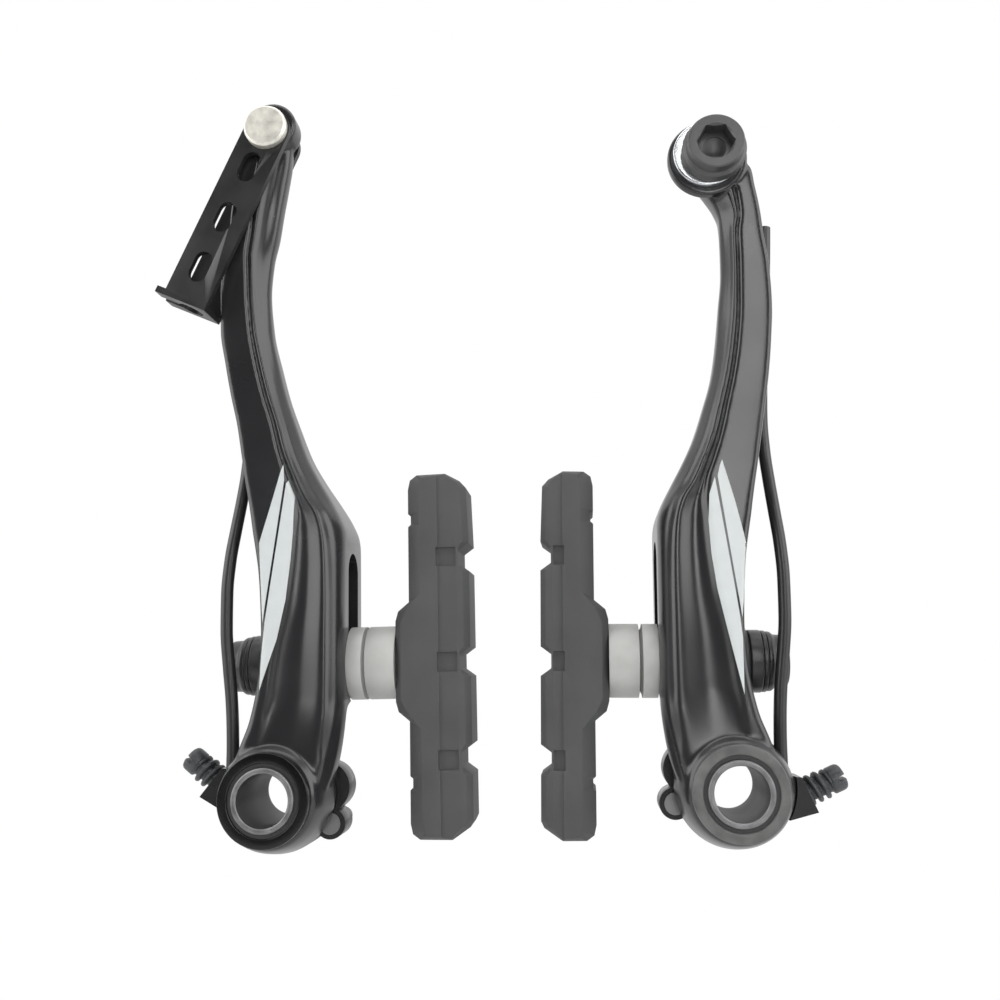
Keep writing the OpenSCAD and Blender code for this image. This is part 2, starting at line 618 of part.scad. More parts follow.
// The pad, drawn along Z with the stud's axis along X through the origin
module pad() {
    top = pad_shift + pad_l / 2;
    foot = pad_shift - pad_l / 2;
    half_w = pad_w / 2;
    band_x = pad_x + band_t;
    chamfer = 0.17 * pad_t;
    back_round = 0.18 * pad_t;
    hub_r = 0.82 * pad_w;
    color([0.2, 0.2, 0.2]) difference() {
        union() {
            intersection() {
                translate([0, 0, foot]) linear_extrude(height = pad_l)
                    polygon(concat(pad_half(1), [for (i = [5:-1:0]) pad_half(-1)[i]]));
                y_plate([[pad_x, foot + back_round], [pad_x + 0.4 * back_round, foot + 0.3 * back_round],
                    [pad_x + back_round, foot], [band_x, foot], [rim_x, foot + 1.2 * chamfer],
                    [rim_x, top - 1.2 * chamfer], [band_x, top], [pad_x + back_round, top],
                    [pad_x + 0.4 * back_round, top - 0.3 * back_round],
                    [pad_x, top - back_round]], -pad_w, pad_w);
            }
            intersection() {
                x_spin() polygon([[0, hub_x], [0.55 * pad_w, hub_x], [0.6 * pad_w, hub_x + 0.2 * hub_t],
                    [hub_r, pad_x + 0.2 * hub_t], [hub_r, pad_x + 0.4 * band_t],
                    [0, pad_x + 0.4 * band_t]]);
                translate([hub_x, -half_w, -pad_w]) cube([hub_t + band_t, pad_w, 2 * pad_w]);
            }
        }
        for (share = [-0.29, 0, 0.29]) translate([0, 0, pad_shift + share * pad_l]) rain_notch();
        x_rod(2 * 0.9 * stud_d, hub_x + 0.45 * hub_t, pad_x);
        x_rod(stud_d, hub_x - over, pad_x);
        for (share = [-0.365, 0.365]) translate([0, 0, pad_shift + share * pad_l]) back_dip();
    }
}

// Half of the pad's section, as [x, y] points from its back to its rim face
function pad_half(way) = let (half_w = way * pad_w / 2, band_x = pad_x + band_t, tuck = way * 0.03 * pad_w)
    [[pad_x, 0.72 * half_w], [pad_x + 0.42 * band_t, half_w], [band_x, half_w],
        [band_x, half_w - tuck], [band_x + 0.72 * (rim_x - band_x), half_w - tuck],
        [rim_x, half_w - 5 * tuck], [rim_x, 0]];

// A shallow dip across the pad's back
module back_dip() {
    half_h = 0.032 * pad_l;
    y_plate([[pad_x - over, -half_h], [pad_x + 0.05 * pad_t, -0.5 * half_h],
        [pad_x + 0.05 * pad_t, 0.5 * half_h], [pad_x - over, half_h]], -pad_w, pad_w);
}

// A groove across the rim face with a wider mouth and a pocket at each side
module rain_notch() {
    depth = 0.26 * pad_t;
    half_h = 0.022 * pad_l;
    mouth = 0.8 * half_h;
    y_plate([[rim_x - 1.25 * depth, -half_h], [rim_x - depth, -half_h],
        [rim_x, -half_h - mouth], [rim_x + over, -half_h - mouth],
        [rim_x + over, half_h + mouth], [rim_x, half_h + mouth],
        [rim_x - depth, half_h], [rim_x - 1.25 * depth, half_h]], -pad_w, pad_w);
    for (way = [-1, 1]) translate([0, way * 0.5 * pad_w, 0])
        y_plate([[pad_x + band_t, -1.15 * half_h], [rim_x - depth, -1.35 * half_h],
            [rim_x - depth, 1.35 * half_h], [pad_x + band_t, 1.15 * half_h]],
            -0.16 * pad_w, 0.16 * pad_w);
}

// The link, drawn hanging straight down from its pin
module link_shape() {
    r = link_w / 2;
    end_lip = 0.2 * link_w;
    color([0.05, 0.05, 0.055]) difference() {
        union() {
            for (y = [link_front - link_t, link_rear]) {
                y_rod(link_w, y, y + link_t);
                translate([-r, y, -link_l]) cube([link_w, link_t, link_l]);
            }
            translate([-r - end_lip, link_front - link_t, -link_l - link_t])
                cube([link_w + end_lip, link_gap + 2 * link_t, link_t]);
        }
        y_rod(pin_d + 2 * running_gap, link_front - link_t - over, link_rear + link_t + over);
        for (share = [0.228, 0.53, 0.825]) link_slot(share * link_l);
        translate([0, plate_mid, 0]) {
            translate([0, 0, -link_l - link_t - over])
                cylinder(d = keyhole_d, h = link_t + 2 * over);
            translate([-link_w, -0.2 * keyhole_d, -link_l - link_t - over])
                cube([link_w, 0.4 * keyhole_d, link_t + 2 * over]);
        }
    }
}

module link_slot(drop) {
    slot_r = 0.2 * link_w;
    reach = 0.15 * link_w;
    for (z = [-reach, reach]) translate([0, 0, z - drop])
        y_rod(2 * slot_r, link_front - link_t - over, link_rear + link_t + over, 32);
    translate([-slot_r, link_front - link_t - over, -drop - reach])
        cube([2 * slot_r, link_gap + 2 * link_t + 2 * over, 2 * reach]);
}

module at_link_pin() {
    on_left() translate([pin_x, 0, pin_h]) children();
}

module link_pin_shape() {
    head_t = 0.2 * pin_head_d;
    edge = 0.25 * head_t;
    head_y = link_front - link_t - running_gap;
    tail_y = link_rear + link_t + running_gap;
    color([0.62, 0.6, 0.57]) {
        y_rod(pin_d, head_y - head_t / 2, tail_y + head_t / 2);
        y_spin([[0, head_y - head_t], [pin_head_d / 2 - edge, head_y - head_t],
            [pin_head_d / 2, head_y - head_t + edge], [pin_head_d / 2, head_y], [0, head_y]]);
        y_spin([[0, tail_y], [0.42 * pin_head_d, tail_y], [0.3 * pin_head_d, tail_y + head_t],
            [0, tail_y + head_t]]);
    }
}

module at_anchor() {
    on_right() translate([anchor_x, 0, anchor_h]) children();
}

module anchor_bolt_shape() {
    head_y = head_front - anchor_washer_t;
    top_y = head_y - anchor_head_t;
    edge = 0.16 * anchor_head_t;
    color([0.1, 0.1, 0.105]) difference() {
        union() {
            y_spin([[0, top_y], [anchor_head_d / 2 - edge, top_y],
                [anchor_head_d / 2, top_y + edge], [anchor_head_d / 2, head_y], [0, head_y]]);
            y_rod(anchor_d, head_y - edge, head_front + head_t + 0.25 * anchor_head_t);
        }
        translate([0, top_y - over, 0]) rotate([-90, 0, 0])
            cylinder(d = anchor_hex / cos(30), h = over + 0.6 * anchor_head_t, $fn = 6);
    }
}

// The washer has a shallow groove for the cable, cut across its back face above the bolt
module anchor_washer_shape() {
    groove_r = 0.12 * anchor_d;
    color([0.75, 0.75, 0.76]) difference() {
        y_rod(anchor_washer_d, head_front - anchor_washer_t, head_front);
        y_rod(anchor_d, head_front - anchor_washer_t - over, head_front + over);
        translate([-anchor_washer_d, head_front, anchor_d / 2 + groove_r])
            x_rod(2 * groove_r, 0, 2 * anchor_washer_d, 24);
    }
}

// Everything on the stud, at the height of that side's stud
module at_left_stud() {
    on_left() translate([0, stud_y, left_stud_h]) children();
}
module at_right_stud() {
    on_right() translate([0, stud_y, right_stud_h]) children();
}

grey = [0.62, 0.62, 0.6];
black = [0.06, 0.06, 0.065];
steel = [0.55, 0.55, 0.56];

on_left() bush();  // left_bush
on_right() bush();  // right_bush
fixed_left() spring_seat();  // left_spring_seat
fixed_right() spring_seat();  // right_spring_seat
fixed_left() stopper_pin();  // left_stopper_pin
fixed_right() stopper_pin();  // right_stopper_pin
on_left() spring(90 - left_seat_turn);  // left_spring
on_right() spring(90 - right_seat_turn - right_lean);  // right_spring
fixed_left() adjuster(left_adjuster_out);  // left_adjuster
fixed_right() adjuster(right_adjuster_out);  // right_adjuster
on_left() left_arm_shape();  // left_arm
on_right() right_arm_shape();  // right_arm
on_left() liner();  // left_liner
on_right() liner();  // right_liner
at_link_pin() link_pin_shape();  // link_pin
at_link_pin() rotate([0, link_angle, 0]) link_shape();  // cable_link
at_anchor() anchor_bolt_shape();  // anchor_bolt
at_anchor() anchor_washer_shape();  // anchor_washer
at_left_stud() color(grey) inner_dome();  // left_inner_dome
at_left_stud() color(black) outer_dome();  // left_outer_dome
at_right_stud() color(grey) inner_dome();  // right_inner_dome
at_right_stud() color(black) outer_dome();  // right_outer_dome
at_left_stud() color(grey) cup_washer(inner_dome_x, hub_x, 1);  // left_inner_cup
at_right_stud() color(grey) cup_washer(inner_dome_x, hub_x, 1);  // right_inner_cup
at_left_stud() color(black) cup_washer(outer_dome_x, flat_x, -1);  // left_outer_cup
at_right_stud() color(black) cup_washer(outer_dome_x, flat_x, -1);  // right_outer_cup
at_left_stud() color(black) flat_washer();  // left_flat_washer
at_right_stud() color(black) flat_washer();  // right_flat_washer
at_left_stud() color(black) shoe_nut();  // left_shoe_nut
at_right_stud() color(black) shoe_nut();  // right_shoe_nut
at_left_stud() color(steel) shoe_stud();  // left_stud
at_right_stud() color(steel) shoe_stud();  // right_stud
at_left_stud() pad();  // left_pad
at_right_stud() pad();  // right_pad
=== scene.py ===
import math

import bmesh
import bpy
import numpy as np
from mathutils import Matrix, Vector
from mathutils.bvhtree import BVHTree


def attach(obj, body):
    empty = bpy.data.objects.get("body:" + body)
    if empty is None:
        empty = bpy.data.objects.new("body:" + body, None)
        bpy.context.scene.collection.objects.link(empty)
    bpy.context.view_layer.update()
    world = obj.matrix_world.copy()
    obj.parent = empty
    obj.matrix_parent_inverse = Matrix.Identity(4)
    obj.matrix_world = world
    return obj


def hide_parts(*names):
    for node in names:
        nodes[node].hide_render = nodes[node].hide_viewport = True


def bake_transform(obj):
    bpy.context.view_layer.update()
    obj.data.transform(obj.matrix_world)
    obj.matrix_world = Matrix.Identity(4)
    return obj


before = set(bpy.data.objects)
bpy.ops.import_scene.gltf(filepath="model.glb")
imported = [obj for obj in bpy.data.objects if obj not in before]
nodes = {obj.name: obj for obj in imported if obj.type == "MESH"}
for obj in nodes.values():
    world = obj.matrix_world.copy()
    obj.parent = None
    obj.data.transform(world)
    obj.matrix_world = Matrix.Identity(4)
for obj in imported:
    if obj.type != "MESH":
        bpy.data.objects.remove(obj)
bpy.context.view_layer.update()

scene = bpy.context.scene
mm = 0.001  # pieces are drawn in millimetres and brought to metres at the end
bothSides = ("left", "right")

# what both sides share, in millimetres and degrees
layout = {
    "halfSpacing": 36.0,
    "lean": {"left": 0.0, "right": 1.6},
    "seatTurn": {"left": 39.0, "right": 23.0},
    "studHeight": {"left": 20.5, "right": 19.4},
    "studDepth": -2.61,
    "armWidth": 12.0,
    "armDepth": 18.0,
    "shoulder": 42.0,
    "neck": 88.0,
    "pin": (-0.12, 109.3),
    "anchor": (1.38, 100.0),
}


def sideMatrix(side, turned=False):
    # drawn with the pivot at the origin and +X inwards; the result is in the frame, in metres
    flip = 1.0 if side == "left" else -1.0
    place = Matrix.Translation((-flip * layout["halfSpacing"], 0, 0))
    lean = Matrix.Rotation(math.radians(layout["lean"][side]), 4, "Y")
    mirror = Matrix.Diagonal((flip, 1, 1, 1))
    if turned:
        local = mirror @ Matrix.Rotation(math.radians(layout["seatTurn"][side]), 4, "Y")
    else:
        local = lean @ mirror
    return Matrix.Scale(mm, 4) @ place @ local


def newObject(name, mesh):
    obj = bpy.data.objects.new(name, mesh)
    scene.collection.objects.link(obj)
    return obj


def meshFrom(name, points, faces):
    mesh = bpy.data.meshes.new(name)
    mesh.from_pydata([tuple(p) for p in points], [], [tuple(f) for f in faces])
    mesh.update()
    return mesh


def reworked(mesh, change):
    work = bmesh.new()
    work.from_mesh(mesh)
    change(work)
    work.to_mesh(mesh)
    work.free()


def turnedOut(work):
    bmesh.ops.remove_doubles(work, verts=work.verts, dist=1e-5)
    bmesh.ops.recalc_face_normals(work, faces=work.faces)


def endsFilled(work):
    bmesh.ops.holes_fill(work, edges=[e for e in work.edges if e.is_boundary])
    bmesh.ops.recalc_face_normals(work, faces=work.faces)


def triangled(work):
    bmesh.ops.triangulate(work, faces=work.faces, ngon_method="EAR_CLIP")


def applied(obj):
    # the evaluated mesh takes the object's place and the modifiers go
    depsgraph = bpy.context.evaluated_depsgraph_get()
    mesh = bpy.data.meshes.new_from_object(obj.evaluated_get(depsgraph), depsgraph=depsgraph)
    obj.modifiers.clear()
    if obj.type == "MESH":
        old = obj.data
        obj.data = mesh
        bpy.data.meshes.remove(old)
        return obj
    name = obj.name
    bpy.data.objects.remove(obj)
    return newObject(name, mesh)


def smoothByAngle(mesh, degrees=35):
    mesh.shade_smooth()
    mesh.set_sharp_from_angle(angle=math.radians(degrees))


def settle(obj, side, body, material, node=None, turned=False, sharp=35, place=None):
    # brings a drawn piece into the frame, dresses it and hands it to its body
    matrix = sideMatrix(side, turned)
    if place is not None:
        matrix = matrix @ place
    obj.data.transform(matrix)
    reworked(obj.data, turnedOut)
    obj.data.materials.clear()
    obj.data.materials.append(material)
    smoothByAngle(obj.data, sharp)
    if node:
        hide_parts(*([node] if isinstance(node, str) else node))
    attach(obj, body)
    return obj


def rounded(points, radius, steps=4):
    # each inner corner of an open outline becomes an arc; a pair (x, y, r) sets its own radius
    out = [points[0][:2]]
    for before, here, after in zip(points, points[1:], points[2:]):
        r = here[2] if len(here) > 2 else radius
        p = Vector(here[:2])
        a, b = Vector(before[:2]) - p, Vector(after[:2]) - p
        reach = min(r, 0.45 * a.length, 0.45 * b.length)
        if reach < 1e-4:
            out.append(tuple(p))
            continue
        start, end = p + a.normalized() * reach, p + b.normalized() * reach
        for i in range(steps + 1):
            t = i / steps
            q = start * (1 - t) ** 2 + p * 2 * t * (1 - t) + end * t ** 2
            out.append(tuple(q))
    out.append(points[-1][:2])
    return out


def lathe(name, outline, axis="Y", sides=96, closed=False):
    # turns (radius, along) points round the axis; a closed outline makes a ring
    ring = []
    for k in range(sides):
        a = 2 * math.pi * k / sides
        for r, t in outline:
            if axis == "Y":
                ring.append((r * math.cos(a), t, r * math.sin(a)))
            else:
                ring.append((t, r * math.cos(a), r * math.sin(a)))
    count = len(outline)
    faces = []
    last = count if closed else count - 1
    for k in range(sides):
        for i in range(last):
            j = (i + 1) % count
            n = (k + 1) % sides
            faces.append((k * count + i, k * count + j, n * count + j, n * count + i))
    mesh = meshFrom(name, ring, faces)
    reworked(mesh, turnedOut)
    if not closed:
        reworked(mesh, endsFilled)
    return newObject(name, mesh)


def bar(name, size, at, axis="Y", sides=64):
    # a round bar of (diameter, start, end)
    d, a, b = size
    obj = lathe(name, [(0, a), (d / 2, a), (d / 2, b), (0, b)], axis, sides)
    obj.data.transform(Matrix.Translation(at))
    return obj


def block(name, low, high):
    work = bmesh.new()
    bmesh.ops.create_cube(work, size=1)
    for v in work.verts:
        v.co = Vector([(low[i] + high[i]) / 2 + v.co[i] * (high[i] - low[i]) for i in range(3)])
    mesh = bpy.data.meshes.new(name)
    work.to_mesh(mesh)
    work.free()
    return newObject(name, mesh)


def combined(obj, tools, operation):
    for tool in tools:
        mod = obj.modifiers.new("combine", "BOOLEAN")
        mod.operation = operation
        mod.solver = "MANIFOLD"
        mod.object = tool
    obj = applied(obj)
    for tool in tools:
        bpy.data.objects.remove(tool)
    return obj


def cut(obj, tools):
    return combined(obj, tools, "DIFFERENCE")


def softEdges(obj, width, degrees, unit=1.0):
    weld = obj.modifiers.new("weld", "WELD")
    weld.merge_threshold = 0.002 * unit
    bevel = obj.modifiers.new("bevel", "BEVEL")
    bevel.width = width * unit
    bevel.segments = 2
    bevel.limit_method = "ANGLE"
    bevel.angle_limit = math.radians(degrees)


def joined(name, parts):
    mesh = bpy.data.meshes.new(name)
    work = bmesh.new()
    for part in parts:
        work.from_mesh(part.data)
        bpy.data.objects.remove(part)
    work.to_mesh(mesh)
    work.free()
    return newObject(name, mesh)


def setValues(node, values):
    for key, value in values.items():
        node.inputs[key].default_value = value
    return node


def finish(name, s):
    # one finish: base colour, gloss, a slow mottle, a fine grain and a few pale specks
    mat = bpy.data.materials.new(name)
    mat.use_nodes = True
    tree = mat.node_tree
    add, link = tree.nodes.new, tree.links.new
    shader = setValues(tree.nodes["Principled BSDF"], {"Metallic": s.get("metallic", 0.0),
                                                       "Specular IOR Level": s.get("specular", 0.5)})
    coords = add("ShaderNodeTexCoord")
    mapping = setValues(add("ShaderNodeMapping"), {"Scale": s.get("stretch", (1, 1, 1))})
    link(coords.outputs["Object"], mapping.inputs["Vector"])

    def noise(scale, detail=3.0):
        n = setValues(add("ShaderNodeTexNoise"), {"Scale": scale, "Detail": detail})
        link(mapping.outputs["Vector"], n.inputs["Vector"])
        return n.outputs["Fac"]

    def ranged(value, low, high, fromLow=0.3, fromHigh=0.7):
        r = setValues(add("ShaderNodeMapRange"), {"From Min": fromLow, "From Max": fromHigh,
                                                  "To Min": low, "To Max": high})
        link(value, r.inputs["Value"])
        return r.outputs["Result"]

    mottle = noise(s.get("mottle", 90))
    grain = noise(s.get("grain", 2500), 2.0)
    base = s["color"]
    shade = s.get("shade", 0.12)
    mix = add("ShaderNodeMix")
    mix.data_type = "RGBA"
    mix.inputs["A"].default_value = (*[c * (1 - shade) for c in base], 1)
    mix.inputs["B"].default_value = (*[min(1.0, c * (1 + shade)) for c in base], 1)
    link(ranged(mottle, 0, 1), mix.inputs["Factor"])
    color = mix.outputs["Result"]
    if s.get("specks"):
        spots = setValues(add("ShaderNodeTexVoronoi"), {"Scale": s.get("speckScale", 260)})
        link(mapping.outputs["Vector"], spots.inputs["Vector"])
        sparse = add("ShaderNodeMath")
        sparse.operation = "MULTIPLY"
        link(ranged(spots.outputs["Distance"], 1, 0, 0.02, 0.05), sparse.inputs[0])
        link(ranged(noise(s.get("speckPatch", 400)), 0, s["specks"], 0.62, 0.66), sparse.inputs[1])
        dots = add("ShaderNodeMix")
        dots.data_type = "RGBA"
        dots.inputs["B"].default_value = (*s.get("speckColor", (0.5, 0.5, 0.5)), 1)
        link(sparse.outputs[0], dots.inputs["Factor"])
        link(color, dots.inputs["A"])
        color = dots.outputs["Result"]
    link(color, shader.inputs["Base Color"])
    rough, spread = s["rough"], s.get("spread", 0.06)
    link(ranged(mottle, rough - spread, rough + spread), shader.inputs["Roughness"])
    bump = setValues(add("ShaderNodeBump"), {"Strength": s.get("bump", 0.15),
                                             "Distance": s.get("bumpDepth", 0.02) * mm})
    link(grain, bump.inputs["Height"])
    link(bump.outputs["Normal"], shader.inputs["Normal"])
    return mat


finishes = {
    "armPaint": {"color": (0.018, 0.018, 0.0195), "rough": 0.24, "spread": 0.04, "mottle": 60,
                 "grain": 1800, "bump": 0.25, "bumpDepth": 0.02, "specks": 0.5, "specular": 0.6},
    "collarPaint": {"color": (0.006, 0.006, 0.0065), "rough": 0.22, "grain": 2400, "bump": 0.3,
                    "specks": 0.5, "speckScale": 900, "speckPatch": 900, "specular": 0.4},
    # the right collar's finish: a lighter grey copy of the black collar paint, a painted sheen, with
    # pale specks
    "collarPaintedSheen": {"color": (0.10, 0.10, 0.098), "rough": 0.42, "mottle": 350, "shade": 0.35,
                   "grain": 2400, "bump": 0.5, "bumpDepth": 0.03, "specks": 0.8, "speckScale": 900,
                   "speckPatch": 900, "speckColor": (0.35, 0.35, 0.33)},
    # painted shade for the inside of the bush's bore
    "borePaintedShade": {"color": (0.05, 0.05, 0.052), "rough": 0.5, "metallic": 0.6, "grain": 3000,
                 "bump": 0.3},
    "stripeSilver": {"color": (0.57, 0.60, 0.60), "rough": 0.45, "shade": 0.03, "mottle": 300,
                     "grain": 4000, "bump": 0.1},
    "bushSteel": {"color": (0.20, 0.20, 0.203), "rough": 0.48, "metallic": 0.85, "grain": 5000,
                  "bump": 0.35, "mottle": 500, "shade": 0.25},
    "linerPlastic": {"color": (0.03, 0.03, 0.03), "rough": 0.5},
    "pinSteel": {"color": (0.24, 0.24, 0.24), "rough": 0.4, "metallic": 0.9},
    "blackPlastic": {"color": (0.012, 0.012, 0.013), "rough": 0.26, "grain": 1200},
    "springBlack": {"color": (0.020, 0.020, 0.021), "rough": 0.33, "stretch": (1, 1, 0.2),
                    "grain": 3000, "bump": 0.2},
    "screwBlack": {"color": (0.045, 0.048, 0.052), "rough": 0.42, "mottle": 400, "bump": 0.3},
    "linkSteel": {"color": (0.0125, 0.0125, 0.013), "rough": 0.36, "mottle": 200, "grain": 3500,
                  "bump": 0.3, "specks": 0.3},
    "pinNickel": {"color": (0.72, 0.70, 0.63), "rough": 0.45, "metallic": 0.7, "mottle": 500,
                  "shade": 0.18, "grain": 1500, "bump": 0.8, "bumpDepth": 0.05},
    "boltBlack": {"color": (0.035, 0.035, 0.037), "rough": 0.34, "mottle": 300, "metallic": 0.2},
    "boltGrey": {"color": (0.08, 0.08, 0.08), "rough": 0.42, "mottle": 400, "metallic": 0.5,
                 "bump": 0.3},
    "zincBright": {"color": (0.78, 0.80, 0.82), "rough": 0.22, "metallic": 1.0, "mottle": 300,
                   "shade": 0.08, "grain": 3000, "bump": 0.3},
    "washerGrey": {"color": (0.47, 0.47, 0.455), "rough": 0.5, "metallic": 0.15, "mottle": 300,
                   "shade": 0.06, "grain": 3500, "bump": 0.5, "bumpDepth": 0.03},
    "studSteel": {"color": (0.45, 0.45, 0.46), "rough": 0.35, "metallic": 0.9},
    "padRubber": {"color": (0.064, 0.064, 0.065), "rough": 0.62, "mottle": 120, "shade": 0.12,
                  "grain": 2200, "bump": 0.6, "bumpDepth": 0.04, "specular": 0.45},
}
look = {key: finish(key, s) for key, s in finishes.items()}
print("finishes ready")


# arms: a loft through stations, blended with the boss and the tip
# each row: height, outer edge, groove, ridge, crease, side as shares of the width, then front,
# the side's front and back edge, and the back as shares of the depth
arm = {
    "lower": [
        (-0.05, -0.46, -0.20, 0.43, 0.54, 0.62, -0.77, -0.62, -0.42, -0.36),
        (0.083, -0.52, -0.25, 0.52, 0.65, 0.80, -0.757, -0.60, -0.40, -0.336),
        (0.18, -0.42, -0.15, 0.55, 0.725, 0.87, -0.745, -0.56, -0.39, -0.336),
        (0.27, -0.30, -0.08, 0.58, 0.80, 0.91, -0.74, -0.52, -0.39, -0.336),
        (0.31, -0.265, -0.06, 0.59, 0.82, 0.92, -0.737, -0.49, -0.37, -0.336),
        (0.38, -0.215, -0.01, 0.59, 0.83, 0.925, -0.735, -0.483, 0.13, 0.20),
        (0.475, -0.175, 0.03, 0.59, 0.835, 0.925, -0.733, -0.483, 0.2, 0.278),
        (0.595, -0.155, 0.095, 0.59, 0.835, 0.925, -0.733, -0.483, 0.2, 0.278),
        (0.715, -0.17, 0.19, 0.59, 0.835, 0.925, -0.733, -0.483, 0.2, 0.278),
        (0.835, -0.20, 0.24, 0.585, 0.825, 0.925, -0.733, -0.483, 0.2, 0.278),
        (0.95, -0.26, 0.275, 0.58, 0.795, 0.925, -0.733, -0.483, 0.2, 0.27),
        (1, -0.29, 0.285, 0.57, 0.755, 0.91, -0.733, -0.483, 0.19, 0.265)],
    "leftUpper": [
        (0.055, -0.32, 0.31, 0.53, 0.70, 0.84, -0.733, -0.50, 0.13, 0.22),
        (0.12, -0.36, 0.285, 0.415, 0.535, 0.715, -0.733, -0.515, 0.01, 0.11),
        (0.195, -0.41, 0.19, 0.30, 0.375, 0.55, -0.737, -0.54, -0.13, -0.02),
        (0.28, -0.46, 0.085, 0.175, 0.25, 0.39, -0.745, -0.555, -0.255, -0.155),
        (0.39, -0.525, -0.015, 0.065, 0.135, 0.25, -0.755, -0.59, -0.355, -0.265),
        (0.5, -0.615, -0.14, -0.065, 0.01, 0.12, -0.77, -0.62, -0.415, -0.345),
        (0.61, -0.687, -0.237, -0.162, -0.097, 0.023, -0.79, -0.65, -0.46, -0.40),
        (0.74, -0.755, -0.32, -0.255, -0.19, -0.065, -0.815, -0.685, -0.545, -0.49),
        (0.87, -0.753, -0.348, -0.288, -0.228, -0.088, -0.85, -0.72, -0.61, -0.56),
        (1, -0.688, -0.348, -0.288, -0.223, -0.038, -0.89, -0.765, -0.65, -0.585)],
    "rightUpper": [
        (0.055, -0.32, 0.31, 0.53, 0.70, 0.84, -0.733, -0.50, 0.13, 0.22),
        (0.12, -0.36, 0.285, 0.415, 0.535, 0.715, -0.733, -0.515, 0.01, 0.11),
        (0.195, -0.41, 0.19, 0.30, 0.381, 0.562, -0.737, -0.54, -0.13, -0.02),
        (0.28, -0.46, 0.085, 0.175, 0.26, 0.41, -0.745, -0.555, -0.255, -0.155),
        (0.39, -0.525, -0.015, 0.065, 0.145, 0.27, -0.755, -0.59, -0.355, -0.265),
        (0.5, -0.585, -0.11, -0.035, 0.04, 0.15, -0.77, -0.62, -0.415, -0.345),
        (0.61, -0.625, -0.175, -0.10, -0.035, 0.085, -0.79, -0.65, -0.46, -0.40),
        (0.74, -0.65, -0.215, -0.15, -0.085, 0.04, -0.815, -0.685, -0.545, -0.49),
        (0.87, -0.625, -0.22, -0.16, -0.11, 0, -0.85, -0.72, -0.61, -0.56),
        (1, -0.55, -0.21, -0.15, -0.105, 0.01, -0.89, -0.765, -0.65, -0.585)],
    "leftTip": [
        (0.2, -0.615, -0.30, -0.24, -0.165, 0.045, -0.91, -0.80, -0.665, -0.595),
        (0.4, -0.575, -0.255, -0.195, -0.10, 0.11, -0.93, -0.825, -0.69, -0.61),
        (0.6, -0.52, -0.20, -0.135, -0.02, 0.175, -0.94, -0.83, -0.70, -0.625),
        (0.8, -0.46, -0.14, -0.07, 0.06, 0.235, -0.945, -0.84, -0.71, -0.635),
        (0.95, -0.215, -0.01, 0.03, 0.14, 0.26, -0.94, -0.835, -0.71, -0.635)],
    "rightTip": [
        (0.2, -0.525, -0.235, -0.18, -0.105, 0.02, -0.91, -0.79, -0.63, -0.55),
        (0.41, -0.49, -0.215, -0.14, -0.04, 0.09, -0.93, -0.80, -0.625, -0.54),
        (0.615, -0.45, -0.18, -0.09, 0.06, 0.21, -0.94, -0.81, -0.62, -0.535),
        (0.86, -0.41, -0.14, -0.03, 0.16, 0.37, -0.94, -0.81, -0.62, -0.535),
        (0.95, -0.32, -0.10, 0.02, 0.2, 0.40, -0.94, -0.81, -0.62, -0.535)],
    "ringEvery": 0.45,
    "voxel": 0.145,
    "smoothing": 34,
    "shoulderSmoothing": 75,  # on top of the other, up to the height below
    "shoulderTop": 48.0,
    "shoulderFade": 8,
    "triangles": 175000,
}
boss = {"front": -16.2, "rear": -6.0, "collar": 14.4, "collarStep": 1.6, "frontD": 15.0,
        "rearD": 18.6, "linerD": 11.2, "cupD": 16.48, "cupDepth": 5.0, "coilInner": 5.7,
        "springWay": (-19, -1.9, 11.9), "flare": 0.95, "flareDepth": 2.6}
slotCut = {"width": 7.0, "low": 17.5, "high": 35.5, "inner": 10.97, "outer": 1.87, "spot": 6.3,
           "reach": (-14, 26)}
# centre across and up from the pivot, diameter, front and thickness of each end's disc
tip = {"left": (0.132, 110.73, 8.4, -17.386, 4.4), "right": (2.148, 100.0, 12.8, -17.19, 1.8)}
recess = {"radius": 4.45, "floor": -12.886, "drop": 37.15, "angle": 24.5}


def steady(xs, ys, at):
    # monotone cubic through the stations, so that nothing swings past a station
    xs, ys = np.array(xs, float), np.array(ys, float)
    step, slope = np.diff(xs), np.diff(ys) / np.diff(xs)
    tangent = np.zeros(len(xs))
    for i in range(1, len(xs) - 1):
        if slope[i - 1] * slope[i] > 0:
            a, b = 2 * step[i] + step[i - 1], step[i] + 2 * step[i - 1]
            tangent[i] = (a + b) / (a / slope[i - 1] + b / slope[i])
    tangent[0], tangent[-1] = slope[0], slope[-1]
    i = np.clip(np.searchsorted(xs, at) - 1, 0, len(xs) - 2)
    h, t = step[i], (at - xs[i]) / step[i]
    return ((1 + 2 * t) * (1 - t) ** 2 * ys[i] + t * (1 - t) ** 2 * h * tangent[i]
            + t * t * (3 - 2 * t) * ys[i + 1] + t * t * (t - 1) * h * tangent[i + 1])


def stations(side):
    shoulder, neck = layout["shoulder"], layout["neck"]
    top = layout["pin"][1] if side == "left" else layout["anchor"][1]
    rows = []
    for part, base, span in (("lower", 0, shoulder), (side + "Upper", shoulder, neck - shoulder),
                             (side + "Tip", neck, top - neck)):
        for row in arm[part]:
            rows.append([base + row[0] * span] + [v * layout["armWidth"] for v in row[1:6]]
                        + [v * layout["armDepth"] for v in row[6:]])
    return np.array(rows)


